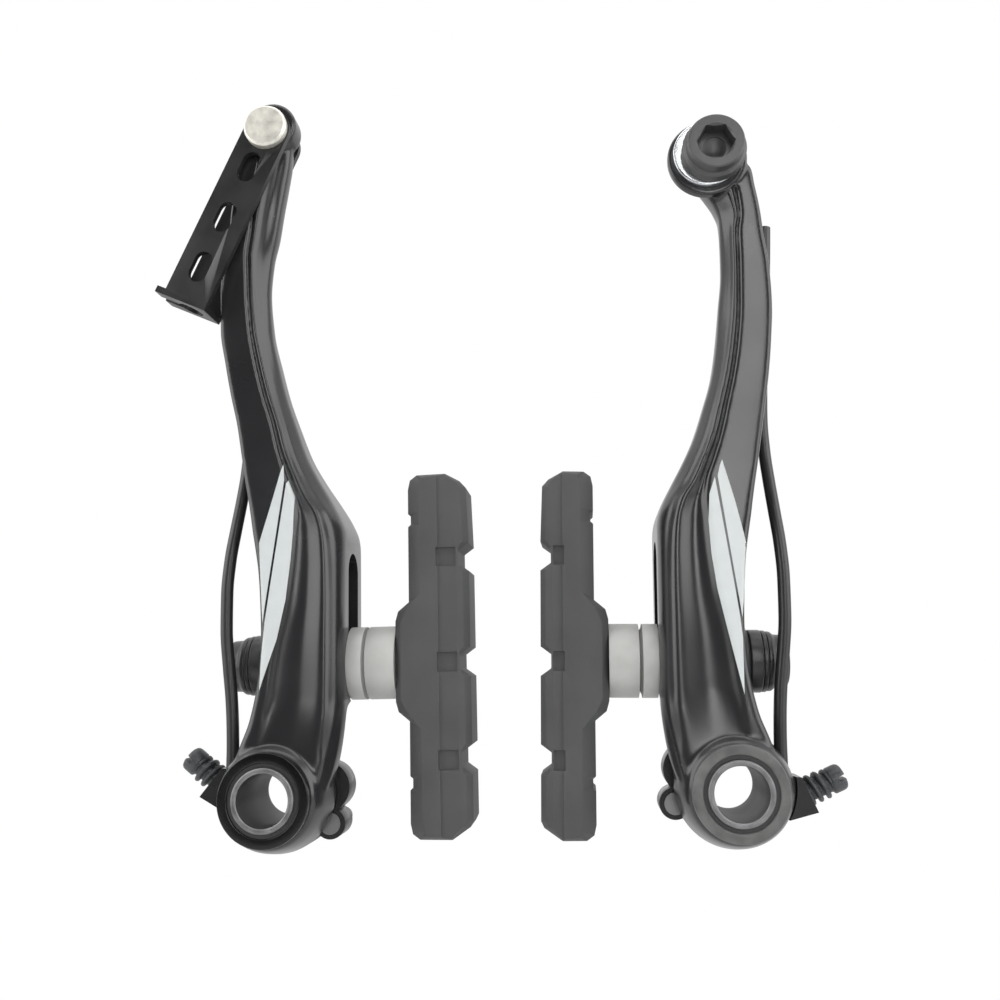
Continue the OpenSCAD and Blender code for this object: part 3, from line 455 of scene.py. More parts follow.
def armSection(row, h):
    outer, groove, ridge, crease, side, front, sideFront, sideRear, rear = row
    rx, ry = 0.09 * layout["armWidth"], 0.09 * layout["armDepth"]
    bead = ridge - groove
    fall = crease - ridge
    lip = side - crease
    wide = min(1.0, max(0.0, (bead - 1.0) / 3.0))  # a narrow groove higher up, a broad hollow below
    ridge += 1.35 * wide
    bead, fall = ridge - groove, crease - ridge
    calm = min(1.0, max(0.12, (h - 4.0) / 11.0))  # the relief fades into the boss
    return [
        (outer - 0.1 * rx, front + 1.1 * ry), (outer, front + 0.45 * ry),
        (outer + 0.25 * rx, front + 0.05 * ry), (outer + rx, front),
        (groove - 1.6 * rx, front), (groove - 0.45, front), (groove - 0.2, front + 0.05),
        (groove + 0.05 + 0.4 * wide, front + 0.72 * calm),
        (groove + (0.3 + 0.13 * wide) * bead, front + (0.75 + 0.45 * wide) * calm),
        (groove + (0.65 + 0.05 * wide) * bead, front + (0.2 + 0.5 * wide) * calm),
        (ridge - 0.05 * bead, front + (0.06 + 0.04 * wide) * calm),
        (ridge + 0.25 * fall, front + 0.12),
        (ridge + 0.62 * fall, front + (0.35 + 0.4 * wide) * calm + 0.1),
        (crease - 0.05, front + (0.7 + 0.8 * wide) * calm + 0.1),
        (crease + 0.1 * lip, front + (0.8 + 0.75 * wide) * calm + 0.1),
        (crease + 0.3 * lip, front + (1.1 + 0.65 * wide) * calm + 0.15),
        (crease + 0.55 * lip, front + 0.45 * (sideFront - front) + 0.55),
        (side - 0.04 * lip, sideFront), (side, sideFront + 0.25 * (sideRear - sideFront)),
        (side, sideRear - 0.4), (side - 0.3 * rx, sideRear + 0.6 * (rear - sideRear)),
        (side - 1.4 * rx, rear), (outer + 1.4 * rx, rear),
        (outer + 0.1 * rx, sideRear + 0.6 * (rear - sideRear)), (outer - 0.4 * rx, sideRear - 0.4),
        (outer - 0.4 * rx, sideFront + 0.25 * (sideRear - sideFront))]


def softened(points, times=2):
    # corner cutting keeps the flats flat and turns the creases into small radii
    for _ in range(times):
        cutPoints = []
        for i, p in enumerate(points):
            q = points[(i + 1) % len(points)]
            cutPoints.append((0.75 * p[0] + 0.25 * q[0], 0.75 * p[1] + 0.25 * q[1]))
            cutPoints.append((0.25 * p[0] + 0.75 * q[0], 0.25 * p[1] + 0.75 * q[1]))
        points = cutPoints
    return points


def armLoft(side):
    rows = stations(side)
    heights = np.arange(rows[0, 0], rows[-1, 0], arm["ringEvery"])
    columns = [steady(rows[:, 0], rows[:, k], heights) for k in range(1, 10)]
    points, faces = [], []
    for i, h in enumerate(heights):
        ring = softened(armSection([c[i] for c in columns], h))
        points += [(x, y, h) for x, y in ring]
        count = len(ring)
        if i:
            low, high = (i - 1) * count, i * count
            for j in range(count):
                k = (j + 1) % count
                faces.append((low + j, low + k, high + k, high + j))
    faces.append(tuple(range(count - 1, -1, -1)))
    faces.append(tuple(len(points) - count + j for j in range(count)))
    mesh = meshFrom(side + "Loft", points, faces)
    reworked(mesh, turnedOut)
    return newObject(side + "Loft", mesh)


def bossBody(side):
    step = boss["front"] + boss["collarStep"]
    outline = rounded([(0, step - 0.1), (boss["frontD"] / 2, step - 0.1, 1.0),
                       (boss["frontD"] / 2 + boss["flare"], step + boss["flareDepth"], 2.0),
                       (boss["rearD"] / 2, boss["rear"] - 1.2, 1.5),
                       (boss["rearD"] / 2 - 0.3, boss["rear"], 0.3), (0, boss["rear"])], 0.4)
    return lathe(side + "Boss", outline)


def tipBody(side):
    x, h, d, y, t = tip[side]
    r, edge = d / 2, 0.12 * t
    obj = lathe(side + "Tip", rounded([(0, y), (r, y, edge), (r, y + t, edge), (0, y + t)], edge))
    obj.data.transform(Matrix.Translation((x, 0, h)))
    return obj


def recessTools():
    # room behind the tongue for the link's back plate
    r, y = recess["radius"], recess["floor"]
    tools = [bar("recessRound", (2 * r, y, 1), (0, 0, 0)),
             block("recessWay", (-r, y, -recess["drop"]), (r, 1, 0))]
    turn = Matrix.Rotation(math.radians(recess["angle"]), 4, "Y")
    x, h = layout["pin"]
    for tool in tools:
        tool.data.transform(Matrix.Translation((x, 0, h)) @ turn)
    return tools


def armTools():
    depth = layout["studDepth"]
    w, low, high, spot = (slotCut[k] for k in ("width", "low", "high", "spot"))
    outward, inward = slotCut["reach"]
    cupFloor, behind = boss["rear"] - boss["cupDepth"], boss["rear"] + 8
    far, foot, head = boss["springWay"]
    tools = [
        bar("bearing", (boss["linerD"], boss["front"] - 2, boss["rear"] + 2), (0, 0, 0), sides=96),
        bar("cup", (boss["cupD"], cupFloor, behind), (0, 0, 0)),
        block("springWay", (far, cupFloor, foot), (-boss["coilInner"], behind, head)),
        block("innerSpot", (slotCut["inner"], depth - spot, low - spot),
              (inward, depth + spot, high + spot)),
        block("outerSpot", (outward, depth - spot, low - spot),
              (-slotCut["outer"], depth + spot, high + spot)),
        block("slotWay", (outward, depth - w / 2, low), (inward, depth + w / 2, high)),
    ]
    for name, h in (("slotFoot", low), ("slotHead", high)):
        tools.append(bar(name, (w, outward, inward), (0, depth, h), axis="X"))
    return tools


fronts = {}


def buildArm(side):
    body = side + "_arm_body"
    obj = joined(side + "ArmBody", [armLoft(side), bossBody(side), tipBody(side)])
    remesh = obj.modifiers.new("remesh", "REMESH")
    remesh.mode = "VOXEL"
    remesh.voxel_size = arm["voxel"]
    soften = obj.modifiers.new("soften", "SMOOTH")
    soften.factor = 0.5
    soften.iterations = arm["smoothing"]
    obj = applied(obj)
    low = obj.vertex_groups.new(name="belowShoulder")
    for v in obj.data.vertices:
        weight = min(1.0, max(0.0, (arm["shoulderTop"] - v.co.z) / arm["shoulderFade"]))
        if weight:
            low.add([v.index], weight, "REPLACE")
    melt = obj.modifiers.new("melt", "SMOOTH")
    melt.factor = 0.5
    melt.iterations = arm["shoulderSmoothing"]
    melt.vertex_group = "belowShoulder"
    obj = applied(obj)
    obj.vertex_groups.clear()
    fronts[side] = BVHTree.FromPolygons([v.co.copy() for v in obj.data.vertices],
                                        [tuple(f.vertices) for f in obj.data.polygons])
    thin = obj.modifiers.new("thin", "DECIMATE")
    thin.ratio = min(1.0, arm["triangles"] / (2 * len(obj.data.polygons)))
    obj = applied(obj)
    obj = cut(obj, armTools() + (recessTools() if side == "left" else []))
    settle(obj, side, body, look["armPaint"], node=side + "_arm", sharp=40)
    step = boss["front"] + boss["collarStep"]
    r, hole = boss["collar"] / 2, boss["linerD"] / 2
    ring = rounded([(hole, step + 1.2), (hole, boss["front"], 0.25), (r - 0.05, boss["front"], 0.35),
                    (r, boss["front"] + 0.4, 0.2), (r, step + 1.2)], 0.2)
    collar = lathe(side + "Collar", ring + [ring[0]], sides=160)
    # the right collar takes the lighter grey copy of the collar paint, a painted sheen; the left
    # takes the black collar paint
    settle(collar, side, body, look["collarPaint" if side == "left" else "collarPaintedSheen"], sharp=30)
    return obj


arms = {side: buildArm(side) for side in bothSides}
print("arms", {s: len(o.data.polygons) for s, o in arms.items()})

# two slanted silver stripes, a thin film on each front face, which follows the paint below it
# edges as (across, height) lines from the bottom up
stripes = {
    "lift": 0.035, "depth": 0.10, "step": 0.35, "columns": 10,
    "left": {
        "outer": ([(-1.39, 27.1), (-1.75, 33.0), (-2.09, 40.0), (-0.45, 45.5), (1.70, 52.9)],
                  [(-1.39, 27.1), (0.28, 38.6), (1.95, 50.2), (1.80, 52.0), (1.70, 52.9)]),
        "inner": ([(-1.70, 16.5), (-1.50, 22.0), (-0.98, 27.3), (0.68, 38.8), (2.30, 49.9),
                   (2.58, 50.2)],
                  [(-1.70, 16.5), (0.94, 24.4), (2.32, 30.7), (3.06, 37.1), (3.42, 42.0),
                   (3.61, 47.5), (2.58, 50.2)])},
    "right": {
        "outer": ([(-1.46, 25.97), (-2.12, 31.64), (-2.6, 36.76), (-0.91, 44.23), (0.87, 50.72)],
                  [(-1.46, 25.97), (0.13, 37.17), (1.65, 48.2), (1.2, 50.0), (0.87, 50.72)]),
        "inner": ([(-1.32, 14.27), (-1.41, 22.77), (-1.10, 26.1), (0.50, 37.3), (2.05, 47.8),
                   (2.10, 47.94)],
                  [(-1.32, 14.27), (0.70, 23.4), (2.2, 30.3), (2.95, 36.0), (3.25, 41.0),
                   (3.0, 45.34), (2.10, 47.94)])},
}


def filmStripe(name, side, edges):
    low, high = edges[0][0][1], edges[0][-1][1]
    heights = np.arange(low, high, stripes["step"]).tolist() + [high]
    lines = [np.interp(heights, [e[1] for e in edge], [e[0] for e in edge]) for edge in edges]
    columns = stripes["columns"]
    points = []
    for i, h in enumerate(heights):
        for j in range(columns + 1):
            x = lines[0][i] + (lines[1][i] - lines[0][i]) * j / columns
            hit = fronts[side].ray_cast(Vector((x, -40, h)), Vector((0, 1, 0)))[0]
            points.append((x, hit.y if hit else -13.2, h))
    count = len(points)
    lift, depth = stripes["lift"], stripes["depth"]
    both = [(x, y - lift, h) for x, y, h in points] + [(x, y + depth, h) for x, y, h in points]
    faces = []
    width = columns + 1
    for i in range(len(heights) - 1):
        for j in range(columns):
            a, b = i * width + j, (i + 1) * width + j
            faces.append((a, a + 1, b + 1, b))
            faces.append((count + a, count + b, count + b + 1, count + a + 1))
        for j in (0, columns):
            a, b = i * width + j, (i + 1) * width + j
            faces.append((a, b, count + b, count + a))
    for j in range(columns):
        for a in (j, (len(heights) - 1) * width + j):
            faces.append((a, a + 1, count + a + 1, count + a))
    return newObject(name, meshFrom(name, both, faces))


for side in bothSides:
    for which, edges in stripes[side].items():
        film = filmStripe(side + which.capitalize() + "Stripe", side, edges)
        settle(film, side, side + "_arm_body", look["stripeSilver"], sharp=50)
print("stripes")

# springs: one round wire along a path, swept with nodes
spring = {
    "wire": 2.0, "coil": 14.0, "turns": 1.25, "pitch": 2.1, "coilFront": -9.7, "seatFront": -5.7,
    "seatT": 5.5, "samples": 420, "round": 24,
    # height as a share of the neck's, then x and y as shares of the arm's width and depth
    "leg": [(0.03, -0.585, -0.533), (0.07, -0.585, -0.528), (0.12, -0.595, -0.524),
            (0.17, -0.62, -0.518), (0.23, -0.67, -0.514), (0.30, -0.715, -0.514),
            (0.37, -0.72, -0.51), (0.43, -0.70, -0.48), (0.49, -0.665, -0.41),
            (0.55, -0.635, -0.32), (0.61, -0.61, -0.245), (0.67, -0.60, -0.205),
            (0.73, -0.605, -0.235), (0.79, -0.615, -0.30), (0.86, -0.63, -0.36),
            (0.93, -0.655, -0.395), (1, -0.68, -0.40), (1.045, -0.695, -0.395)],
}


def nodeTree(name, inputs):
    tree = bpy.data.node_groups.new(name, "GeometryNodeTree")
    tree.interface.new_socket("Geometry", in_out="INPUT", socket_type="NodeSocketGeometry")
    for label, kind in inputs:
        tree.interface.new_socket(label, in_out="INPUT", socket_type=kind)
    tree.interface.new_socket("Geometry", in_out="OUTPUT", socket_type="NodeSocketGeometry")
    return tree, tree.nodes.new("NodeGroupInput"), tree.nodes.new("NodeGroupOutput")


def setInputs(mod, tree, values):
    for item in tree.interface.items_tree:
        if item.in_out == "INPUT" and item.name in values:
            mod[item.identifier] = values[item.name]


def sweepTree():
    tree, start, end = nodeTree("sweepWire", [("Wire Radius", "NodeSocketFloat"),
                                              ("Sides", "NodeSocketInt"),
                                              ("Finish", "NodeSocketMaterial")])
    ring = tree.nodes.new("GeometryNodeCurvePrimitiveCircle")
    sweep = tree.nodes.new("GeometryNodeCurveToMesh")
    sweep.inputs["Fill Caps"].default_value = True
    real = tree.nodes.new("GeometryNodeRealizeInstances")
    paint = tree.nodes.new("GeometryNodeSetMaterial")
    link = tree.links.new
    link(start.outputs["Wire Radius"], ring.inputs["Radius"])
    link(start.outputs["Sides"], ring.inputs["Resolution"])
    link(start.outputs["Geometry"], sweep.inputs["Curve"])
    link(ring.outputs["Curve"], sweep.inputs["Profile Curve"])
    link(sweep.outputs["Mesh"], real.inputs["Geometry"])
    link(real.outputs["Geometry"], paint.inputs["Geometry"])
    link(start.outputs["Finish"], paint.inputs["Material"])
    link(paint.outputs["Geometry"], end.inputs["Geometry"])
    return tree


def springPath(side):
    sweep = 450 - layout["seatTurn"][side] - layout["lean"][side]
    last = math.radians(180 + sweep)
    r, seat = spring["coil"] / 2, spring["seatFront"]
    rear = spring["coilFront"] + spring["turns"] * spring["pitch"]
    path = []
    for y in (seat + 0.5 * spring["seatT"], seat, (seat + rear) / 2):
        path.append((r * math.cos(last), y, r * math.sin(last)))
    steps = 48
    for i in range(steps + 1):
        f = i / steps
        a = math.radians(180 + sweep * (1 - f))
        path.append((r * math.cos(a), rear + f * (spring["coilFront"] - rear), r * math.sin(a)))
    for h, x, y in spring["leg"]:
        path.append((x * layout["armWidth"], y * layout["armDepth"], h * layout["neck"]))
    path = np.array(path)
    length = np.concatenate([[0], np.cumsum(np.linalg.norm(np.diff(path, axis=0), axis=1))])
    at = np.linspace(0, length[-1], spring["samples"])
    smooth = np.stack([steady(length, path[:, k], at) for k in range(3)], axis=1)
    for _ in range(6):
        smooth[1:-1] = 0.25 * smooth[:-2] + 0.5 * smooth[1:-1] + 0.25 * smooth[2:]
    return smooth


wireTree = sweepTree()


def sweptWire(name, path, radius, sides, material):
    curve = bpy.data.curves.new(name, "CURVE")
    curve.dimensions = "3D"
    line = curve.splines.new("POLY")
    line.points.add(len(path) - 1)
    for point, p in zip(line.points, path):
        point.co = (*p, 1)
    obj = newObject(name, curve)
    mod = obj.modifiers.new("sweep", "NODES")
    mod.node_group = wireTree
    setInputs(mod, wireTree, {"Wire Radius": radius, "Sides": sides, "Finish": material})
    return applied(obj)


def buildSpring(side):
    obj = sweptWire(side + "Spring", springPath(side), spring["wire"] / 2, spring["round"],
                    look["springBlack"])
    obj.data.transform(sideMatrix(side))
    reworked(obj.data, turnedOut)
    obj.data.materials.clear()
    obj.data.materials.append(look["springBlack"])
    smoothByAngle(obj.data, 50)
    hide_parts(side + "_spring")
    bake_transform(obj)
    return obj


for side in bothSides:
    buildSpring(side)
print("springs")

# bushes: a grainy steel end and a bore painted darker, painted shade inside the hole
bush = {"bore": 8.05, "outer": 9.9, "front": -16.5, "rear": 0.0, "edge": 0.35}


def buildBush(side):
    inner, outer = bush["bore"] / 2, bush["outer"] / 2
    front, rear, edge = bush["front"], bush["rear"], bush["edge"]
    ring = rounded([(inner, rear - 1), (inner, rear, 0.2), (outer, rear, 0.2), (outer, front, edge),
                    (inner, front, edge), (inner, rear - 1)], 0.3)[:-1]
    obj = lathe(side + "Bush", ring, sides=128, closed=True)
    settle(obj, side, "frame_side", look["bushSteel"], node=side + "_bush", sharp=30)
    # the faces inside the bore take the darker finish, painted shade in the hole
    obj.data.materials.append(look["borePaintedShade"])
    middle = sideMatrix(side) @ Vector((0, 0, 0))
    for face in obj.data.polygons:
        c = face.center
        if math.hypot(c.x - middle.x, c.z - middle.z) < (inner + 0.02) * mm:
            face.material_index = 1
    return obj


for side in bothSides:
    buildBush(side)
print("bushes")

# pads: one outline of (across, height, how far each point draws in on the faces), cut by notches
pad = {
    "foot": -28.05, "top": 31.1, "hub": 18.94, "back": 21.2, "band": 26.3, "halfWidth": 5.7,
    "rim": {"left": 31.3, "right": 29.9}, "tuck": 0.34, "notches": (-15.6, -0.15, 16.9),
    "notchDepth": 1.75, "notchMouth": 2.35, "notchFloor": 1.05, "pocketDepth": 0.9,
    "pocketHalf": 1.55, "edge": 0.22,
}


def padOutline(side):
    b, h, r = pad["back"], pad["hub"], pad["rim"][side]
    low, high, deep = pad["foot"], pad["top"], pad["notchDepth"]
    mouth, floor = pad["notchMouth"], pad["notchFloor"]
    line = [(b + 1.5, low + 0.15, 1.0, 0.7)]
    line += [(r - 3.4, low + 0.05, 0, 0.5), (r - 0.5, low + 2.0, -1.0, 0.5),
             (r, low + 3.0, -1.2, 0.3)]
    for z in pad["notches"]:
        line += [(r, z - mouth, -1.2, 0), (r - deep + 0.25, z - 1.3, -0.3, 0),
                 (r - deep, z - floor, 0, 0), (r - deep, z + floor, 0, 0),
                 (r - deep + 0.25, z + 1.3, -0.3, 0), (r, z + mouth, -1.2, 0)]
    line += [(r - 0.3, high - 2.6, -1.2, -0.3), (r - 1.3, high - 1.45, -0.6, -0.5),
             (r - 3.8, high - 0.05, 0, -0.5), (b + 1.5, high - 0.15, 1.0, -0.7)]
    line += [(b + 0.35, high - 1.0, 2.1, -0.8), (b, high - 2.6, 2.1, -0.3)]
    line += [(b, 24.4, 2.1, 0), (b + 0.45, 24.0, 1.65, 0), (b + 0.45, 22.6, 1.65, 0),
             (b, 22.2, 2.1, 0)]
    line += [(b, 9.7, 2.1, 1.3), (h + 0.45, 8.2, 1.7, 0.2), (h, 6.6, 1.1, -0.4),
             (h, -6.4, 1.1, 0.4), (h + 0.45, -8.0, 1.7, -0.2), (b, -9.5, 2.1, -1.3)]
    line += [(b, -18.1, 2.1, 0), (b + 0.45, -18.5, 1.65, 0), (b + 0.45, -19.9, 1.65, 0),
             (b, -20.3, 2.1, 0)]
    line += [(b, low + 2.6, 2.1, 0.3), (b + 0.35, low + 1.0, 2.1, 0.8)]
    return line


def buildPad(side):
    outline = padOutline(side)
    w = pad["halfWidth"]
    rings = [(-w, 1.0), (-w + 1.6, 0.0), (w - 1.6, 0.0), (w, 1.0)]
    points, faces = [], []
    for y, drawn in rings:
        points += [(x + dx * drawn, y, z + dz * drawn) for x, z, dx, dz in outline]
    n = len(outline)
    for i in range(len(rings) - 1):
        for j in range(n):
            k = (j + 1) % n
            faces.append((i * n + j, i * n + k, (i + 1) * n + k, (i + 1) * n + j))
    faces.append(tuple(range(n)))
    faces.append(tuple(3 * n + j for j in reversed(range(n))))
    mesh = meshFrom(side + "Pad", points, faces)
    reworked(mesh, turnedOut)
    reworked(mesh, triangled)
    obj = newObject(side + "Pad", mesh)
    r, band, half = pad["rim"][side], pad["band"], pad["pocketHalf"]
    end = r - pad["notchDepth"] - 0.35
    tools = []
    for way in (-1, 1):
        a, c = sorted((way * (w - pad["tuck"]), way * (w + 2)))
        tools.append(block("step", (band, a, -60), (r + 5, c, 60)))
        a, c = sorted((way * (w - pad["pocketDepth"]), way * (w + 2)))
        for z in pad["notches"]:
            tools.append(block("pocket", (band - 0.3, a, z - half), (end, c, z + half)))
    obj = cut(obj, tools)
    softEdges(obj, pad["edge"], 20)
    obj = applied(obj)
    place = Matrix.Translation((0, layout["studDepth"], layout["studHeight"][side]))
    return settle(obj, side, side + "_shoe", look["padRubber"], node=side + "_pad", sharp=25,
                  place=place)


for side in bothSides:
    buildPad(side)
print("pads")

# adjuster screws: a core, a coarse thread swept round it and a slotted round end
screw = {"depth": -2.95, "drop": 5.91, "tip": {"left": -6.3, "right": -6.5}, "length": 10.35,
         "core": 1.62, "crest": 1.95, "wire": 0.42, "pitch": 1.35, "threadStart": 0.5,
         "threadEnd": 8.3, "head": 2.1, "headLength": 2.6, "slot": 0.75, "slotDepth": 1.2}


def buildScrew(side):
    long, head = screw["length"], screw["head"]
    neck = long - screw["headLength"]
    outline = rounded([(0, 0), (screw["core"], 0, 0.4), (screw["core"], -neck, 0.2),
                       (head, -neck - 0.25, 0.3), (head, -long, 1.0), (0, -long)], 0.3)
    core = lathe(side + "ScrewCore", outline, axis="X", sides=48)
    core = cut(core, [block("slot", (-long - 1, -3, -screw["slot"] / 2),
                            (-long + screw["slotDepth"], 3, screw["slot"] / 2))])
    begin, run = screw["threadStart"], screw["threadEnd"] - screw["threadStart"]
    turns = run / screw["pitch"]
    steps = int(turns * 28)
    path = []
    for i in range(steps + 1):
        t = i / steps
        fade = min(1.0, 6 * t, 6 * (1 - t))  # the thread runs in and out of the core
        r = screw["crest"] - 0.5 * (1 - fade)
        a = 2 * math.pi * turns * t
        path.append((-begin - t * run, r * math.cos(a), r * math.sin(a)))
    thread = sweptWire(side + "Thread", path, screw["wire"], 8, look["screwBlack"])
    obj = joined(side + "Screw", [core, thread])
    place = Matrix.Translation((screw["tip"][side], screw["depth"], -screw["drop"]))
    return settle(obj, side, side + "_screw_body", look["screwBlack"], node=side + "_adjuster",
                  turned=True, sharp=40, place=place)


for side in bothSides:
    buildScrew(side)
print("screws")

# the black stack outside each arm: cup, thin washer and a flanged nut with a hexagon socket
stack = {"cup": {"end": -5.5, "r": 5.05, "ballX": 4.55, "ballR": 9.42},
         "washer": {"start": -5.55, "end": -6.25, "r": 4.95},
         "nut": {"start": -6.3, "end": -9.7, "r": 4.3, "flangeR": 4.8, "socket": 4.8, "deep": 2.2},
         "bore": 3.1}


def buildStack(side):
    place = Matrix.Translation((0, layout["studDepth"], layout["studHeight"][side]))
    cup, washer, nut, bore = stack["cup"], stack["washer"], stack["nut"], stack["bore"]
    pieces = []
    # the cup's hollow follows the ball of the dome that it tilts on
    seat = [(r, cup["ballX"] - math.sqrt(cup["ballR"] ** 2 - r * r)) for r in
            np.linspace(bore, cup["r"] - 0.12, 7).tolist()]
    outline = seat + [(cup["r"], seat[-1][1] - 0.15, 0.1), (cup["r"], cup["end"], 0.25),
                      (bore, cup["end"], 0.1), seat[0]]
    pieces.append((lathe(side + "OuterCup", rounded(outline, 0.02)[:-1], axis="X", closed=True),
                   "outer_cup"))
    outline = [(bore, washer["start"]), (washer["r"], washer["start"], 0.15),
               (washer["r"], washer["end"], 0.15), (bore, washer["end"]), (bore, washer["start"])]
    pieces.append((lathe(side + "FlatWasher", rounded(outline, 0.05)[:-1], axis="X", closed=True),
                   "flat_washer"))
    outline = [(0, nut["start"]), (nut["flangeR"], nut["start"], 0.2),
               (nut["flangeR"], nut["start"] - 0.75, 0.25), (nut["r"], nut["start"] - 1.3, 0.3),
               (nut["r"] - 0.1, nut["end"], 0.7), (0, nut["end"])]
    nutBody = lathe(side + "Nut", rounded(outline, 0.2), axis="X")
    hexR, floor = nut["socket"] / math.sqrt(3), nut["end"] + nut["deep"]
    key = lathe("key", [(0, nut["end"] - 1), (hexR, nut["end"] - 1), (hexR, floor), (0, floor)],
                axis="X", sides=6)
    pieces.append((cut(nutBody, [key]), "shoe_nut"))
    for obj, node in pieces:
        settle(obj, side, side + "_clamp", look["boltBlack"], node=side + "_" + node, sharp=30,
               place=place)


for side in bothSides:
    buildStack(side)
print("stacks")

# anchor bolt with a chamfered socket head, and its bright washer set towards the wheel
anchor = {"headR": 4.5, "headT": 1.75, "flangeR": 5.1, "flangeAt": 2.2, "front": -22.5,
          "headRear": -18.6, "rear": -8.6, "shaftR": 2.95, "socket": 5.3, "socketDepth": 2.5,
          "dimple": 1.9, "washerR": 5.5, "washerFront": -18.55, "washerRear": -17.2,
          "washerShift": (0.85, 0.1), "bevel": 0.22}


def buildAnchor():
    r, f = anchor["headR"], anchor["front"]
    flange, bevel = anchor["flangeR"], anchor["bevel"]
    outline = rounded([(0, f), (r - bevel, f, 0.12), (r, f + 0.7 * bevel, 0.15),
                       (r, f + anchor["headT"], 0.25), (r + 0.12, f + anchor["headT"] + 0.2, 0.1),
                       (flange, f + anchor["flangeAt"], 0.3),
                       (flange, anchor["headRear"], 0.2), (anchor["shaftR"], anchor["headRear"], 0.1),
                       (anchor["shaftR"], anchor["rear"], 0.4), (0, anchor["rear"])], 0.1)
    bolt = lathe("anchorBolt", outline, sides=96)
    hexR, floor, small = anchor["socket"] / math.sqrt(3), f + anchor["socketDepth"], anchor["dimple"]
    key = lathe("socket", [(0, f - 1), (hexR, f - 1), (hexR, floor), (0, floor)], sides=6)
    dimple = lathe("dimple", [(0, f - 1), (small, f - 1), (small, floor + 0.2), (0, floor + 1.0)],
                   sides=48)
    mouth = lathe("mouth", [(0, f - 1), (hexR + 0.85, f - 1), (hexR - 0.35, f + 0.3), (0, f + 0.3)],
                  sides=64)
    bolt = cut(bolt, [key, dimple, mouth])
    x, h = layout["anchor"]
    place = Matrix.Translation((x, 0, h))
    settle(bolt, "right", "right_arm_body", look["boltGrey"], node="anchor_bolt", sharp=25,
           place=place)
    front, rear, wr = anchor["washerFront"], anchor["washerRear"], anchor["washerR"]
    rim = rounded([(0, front), (wr, front, 0.25), (wr, rear, 0.25), (0, rear)], 0.2)
    disc = lathe("anchorWasher", rim, sides=128)
    dx, dz = anchor["washerShift"]
    hole = bar("hole", (2 * anchor["shaftR"] + 0.1, front - 1, rear + 1), (-dx, 0, -dz))
    disc = cut(disc, [hole])
    settle(disc, "right", "right_arm_body", look["zincBright"], node="anchor_washer", sharp=25,
           place=Matrix.Translation((x + dx, 0, h + dz)))


buildAnchor()
print("anchor")

# cable link: two slotted plates, the rear one whole at its last slot, and the folded end
guide = {"length": 31.6, "width": 7.7, "sheet": 1.1, "front": -17.586, "rear": -12.786, "lip": 1.54,
         "angle": 24.5, "pin": 4.1, "slots": (0.228, 0.53, 0.825), "slotR": 1.54, "reach": 1.155,
         "keyhole": 4.2, "edge": 0.18}


def buildGuide():
    r, t, long = guide["width"] / 2, guide["sheet"], guide["length"]
    reach, slotR, hole = guide["reach"], guide["slotR"], guide["keyhole"] / 2
    plates = []
    for name, y, count in (("front", guide["front"] - t, 3), ("rear", guide["rear"], 2)):
        plate = lathe(name, [(0, y), (r, y), (r, y + t), (0, y + t)], sides=96)
        tools = []
        for share in guide["slots"][:count]:
            drop = share * long
            for z in (-reach, reach):
                tools.append(bar("slotEnd", (2 * slotR, y - 1, y + t + 1), (0, 0, z - drop)))
            tools.append(block("slotMid", (-slotR, y - 1, -drop - reach),
                               (slotR, y + t + 1, -drop + reach)))
        strip = block(name + "Strip", (-r, y, -long - 0.5 * t), (r, y + t, 0))
        strip = combined(strip, [plate], "UNION")
        tools.append(bar("pinHole", (guide["pin"], y - 1, y + t + 1), (0, 0, 0)))
        plates.append(cut(strip, tools))
    flange = block("flange", (-r - guide["lip"], guide["front"] - t, -long - t),
                   (r, guide["rear"] + t, -long))
    middle = (guide["front"] + guide["rear"]) / 2
    keyhole = lathe("keyhole", [(0, -long - 2 * t), (hole, -long - 2 * t), (hole, -long + t),
                                (0, -long + t)], sides=48)
    keyhole.data.transform(Matrix.Rotation(math.radians(90), 4, "X"))
    keyhole.data.transform(Matrix.Translation((0, middle, 0)))
    mouth = block("mouth", (-9, middle - 0.4 * hole, -long - 2 * t),
                  (0, middle + 0.4 * hole, -long + t))
    flange = cut(flange, [keyhole, mouth])
    flange = combined(flange, plates, "UNION")
    flange.name = "cableGuide"
    softEdges(flange, guide["edge"], 40)
    flange = applied(flange)
    x, h = layout["pin"]
    place = Matrix.Translation((x, 0, h)) @ Matrix.Rotation(math.radians(guide["angle"]), 4, "Y")
    return settle(flange, "left", "link_body", look["linkSteel"], node="cable_link", sharp=30,
                  place=place)


buildGuide()
print("guide")

# plain nodes keep their CAD shape, with softened edges
dress = {
    "liner": ("linerPlastic", 0), "spring_seat": ("blackPlastic", 0.3),
    "stopper_pin": ("pinSteel", 0.2),
    "inner_dome": ("washerGrey", 0.25), "inner_cup": ("washerGrey", 0.3),
    "outer_dome": ("boltBlack", 0.2),
    "stud": ("studSteel", 0.1),
}
dressAlone = {"link_pin": ("pinNickel", 0.15)}


def dressNode(name, key, edge):
    obj = nodes[name]
    obj.data.materials.clear()
    obj.data.materials.append(look[key])
    if edge:
        softEdges(obj, edge, 32, mm)


for side in bothSides:
    for part, (key, edge) in dress.items():
        dressNode(side + "_" + part, key, edge)
for name, (key, edge) in dressAlone.items():
    dressNode(name, key, edge)
print("nodes dressed")

# stage, lights and camera, in metres
stage = {"floor": -0.085, "size": 6.0, "pale": 0.92, "worldLight": 0.45,
         "lamps": [("leftLamp", (-0.42, -0.20, 0.22), 0.45, 1.5),
                   ("rightLamp", (0.46, -0.22, 0.20), 0.45, 1.5),
                   ("topLamp", (0.0, -0.10, 0.55), 0.5, 1.2)],
         "panel": {"low": (0.05, -0.485, 0.02), "high": (0.18, -0.48, 0.42), "glow": 4.2},
         "flag": {"low": (-0.42, -1.5, -0.6), "high": (0.42, -0.5, 0.9), "shade": 0.03}}


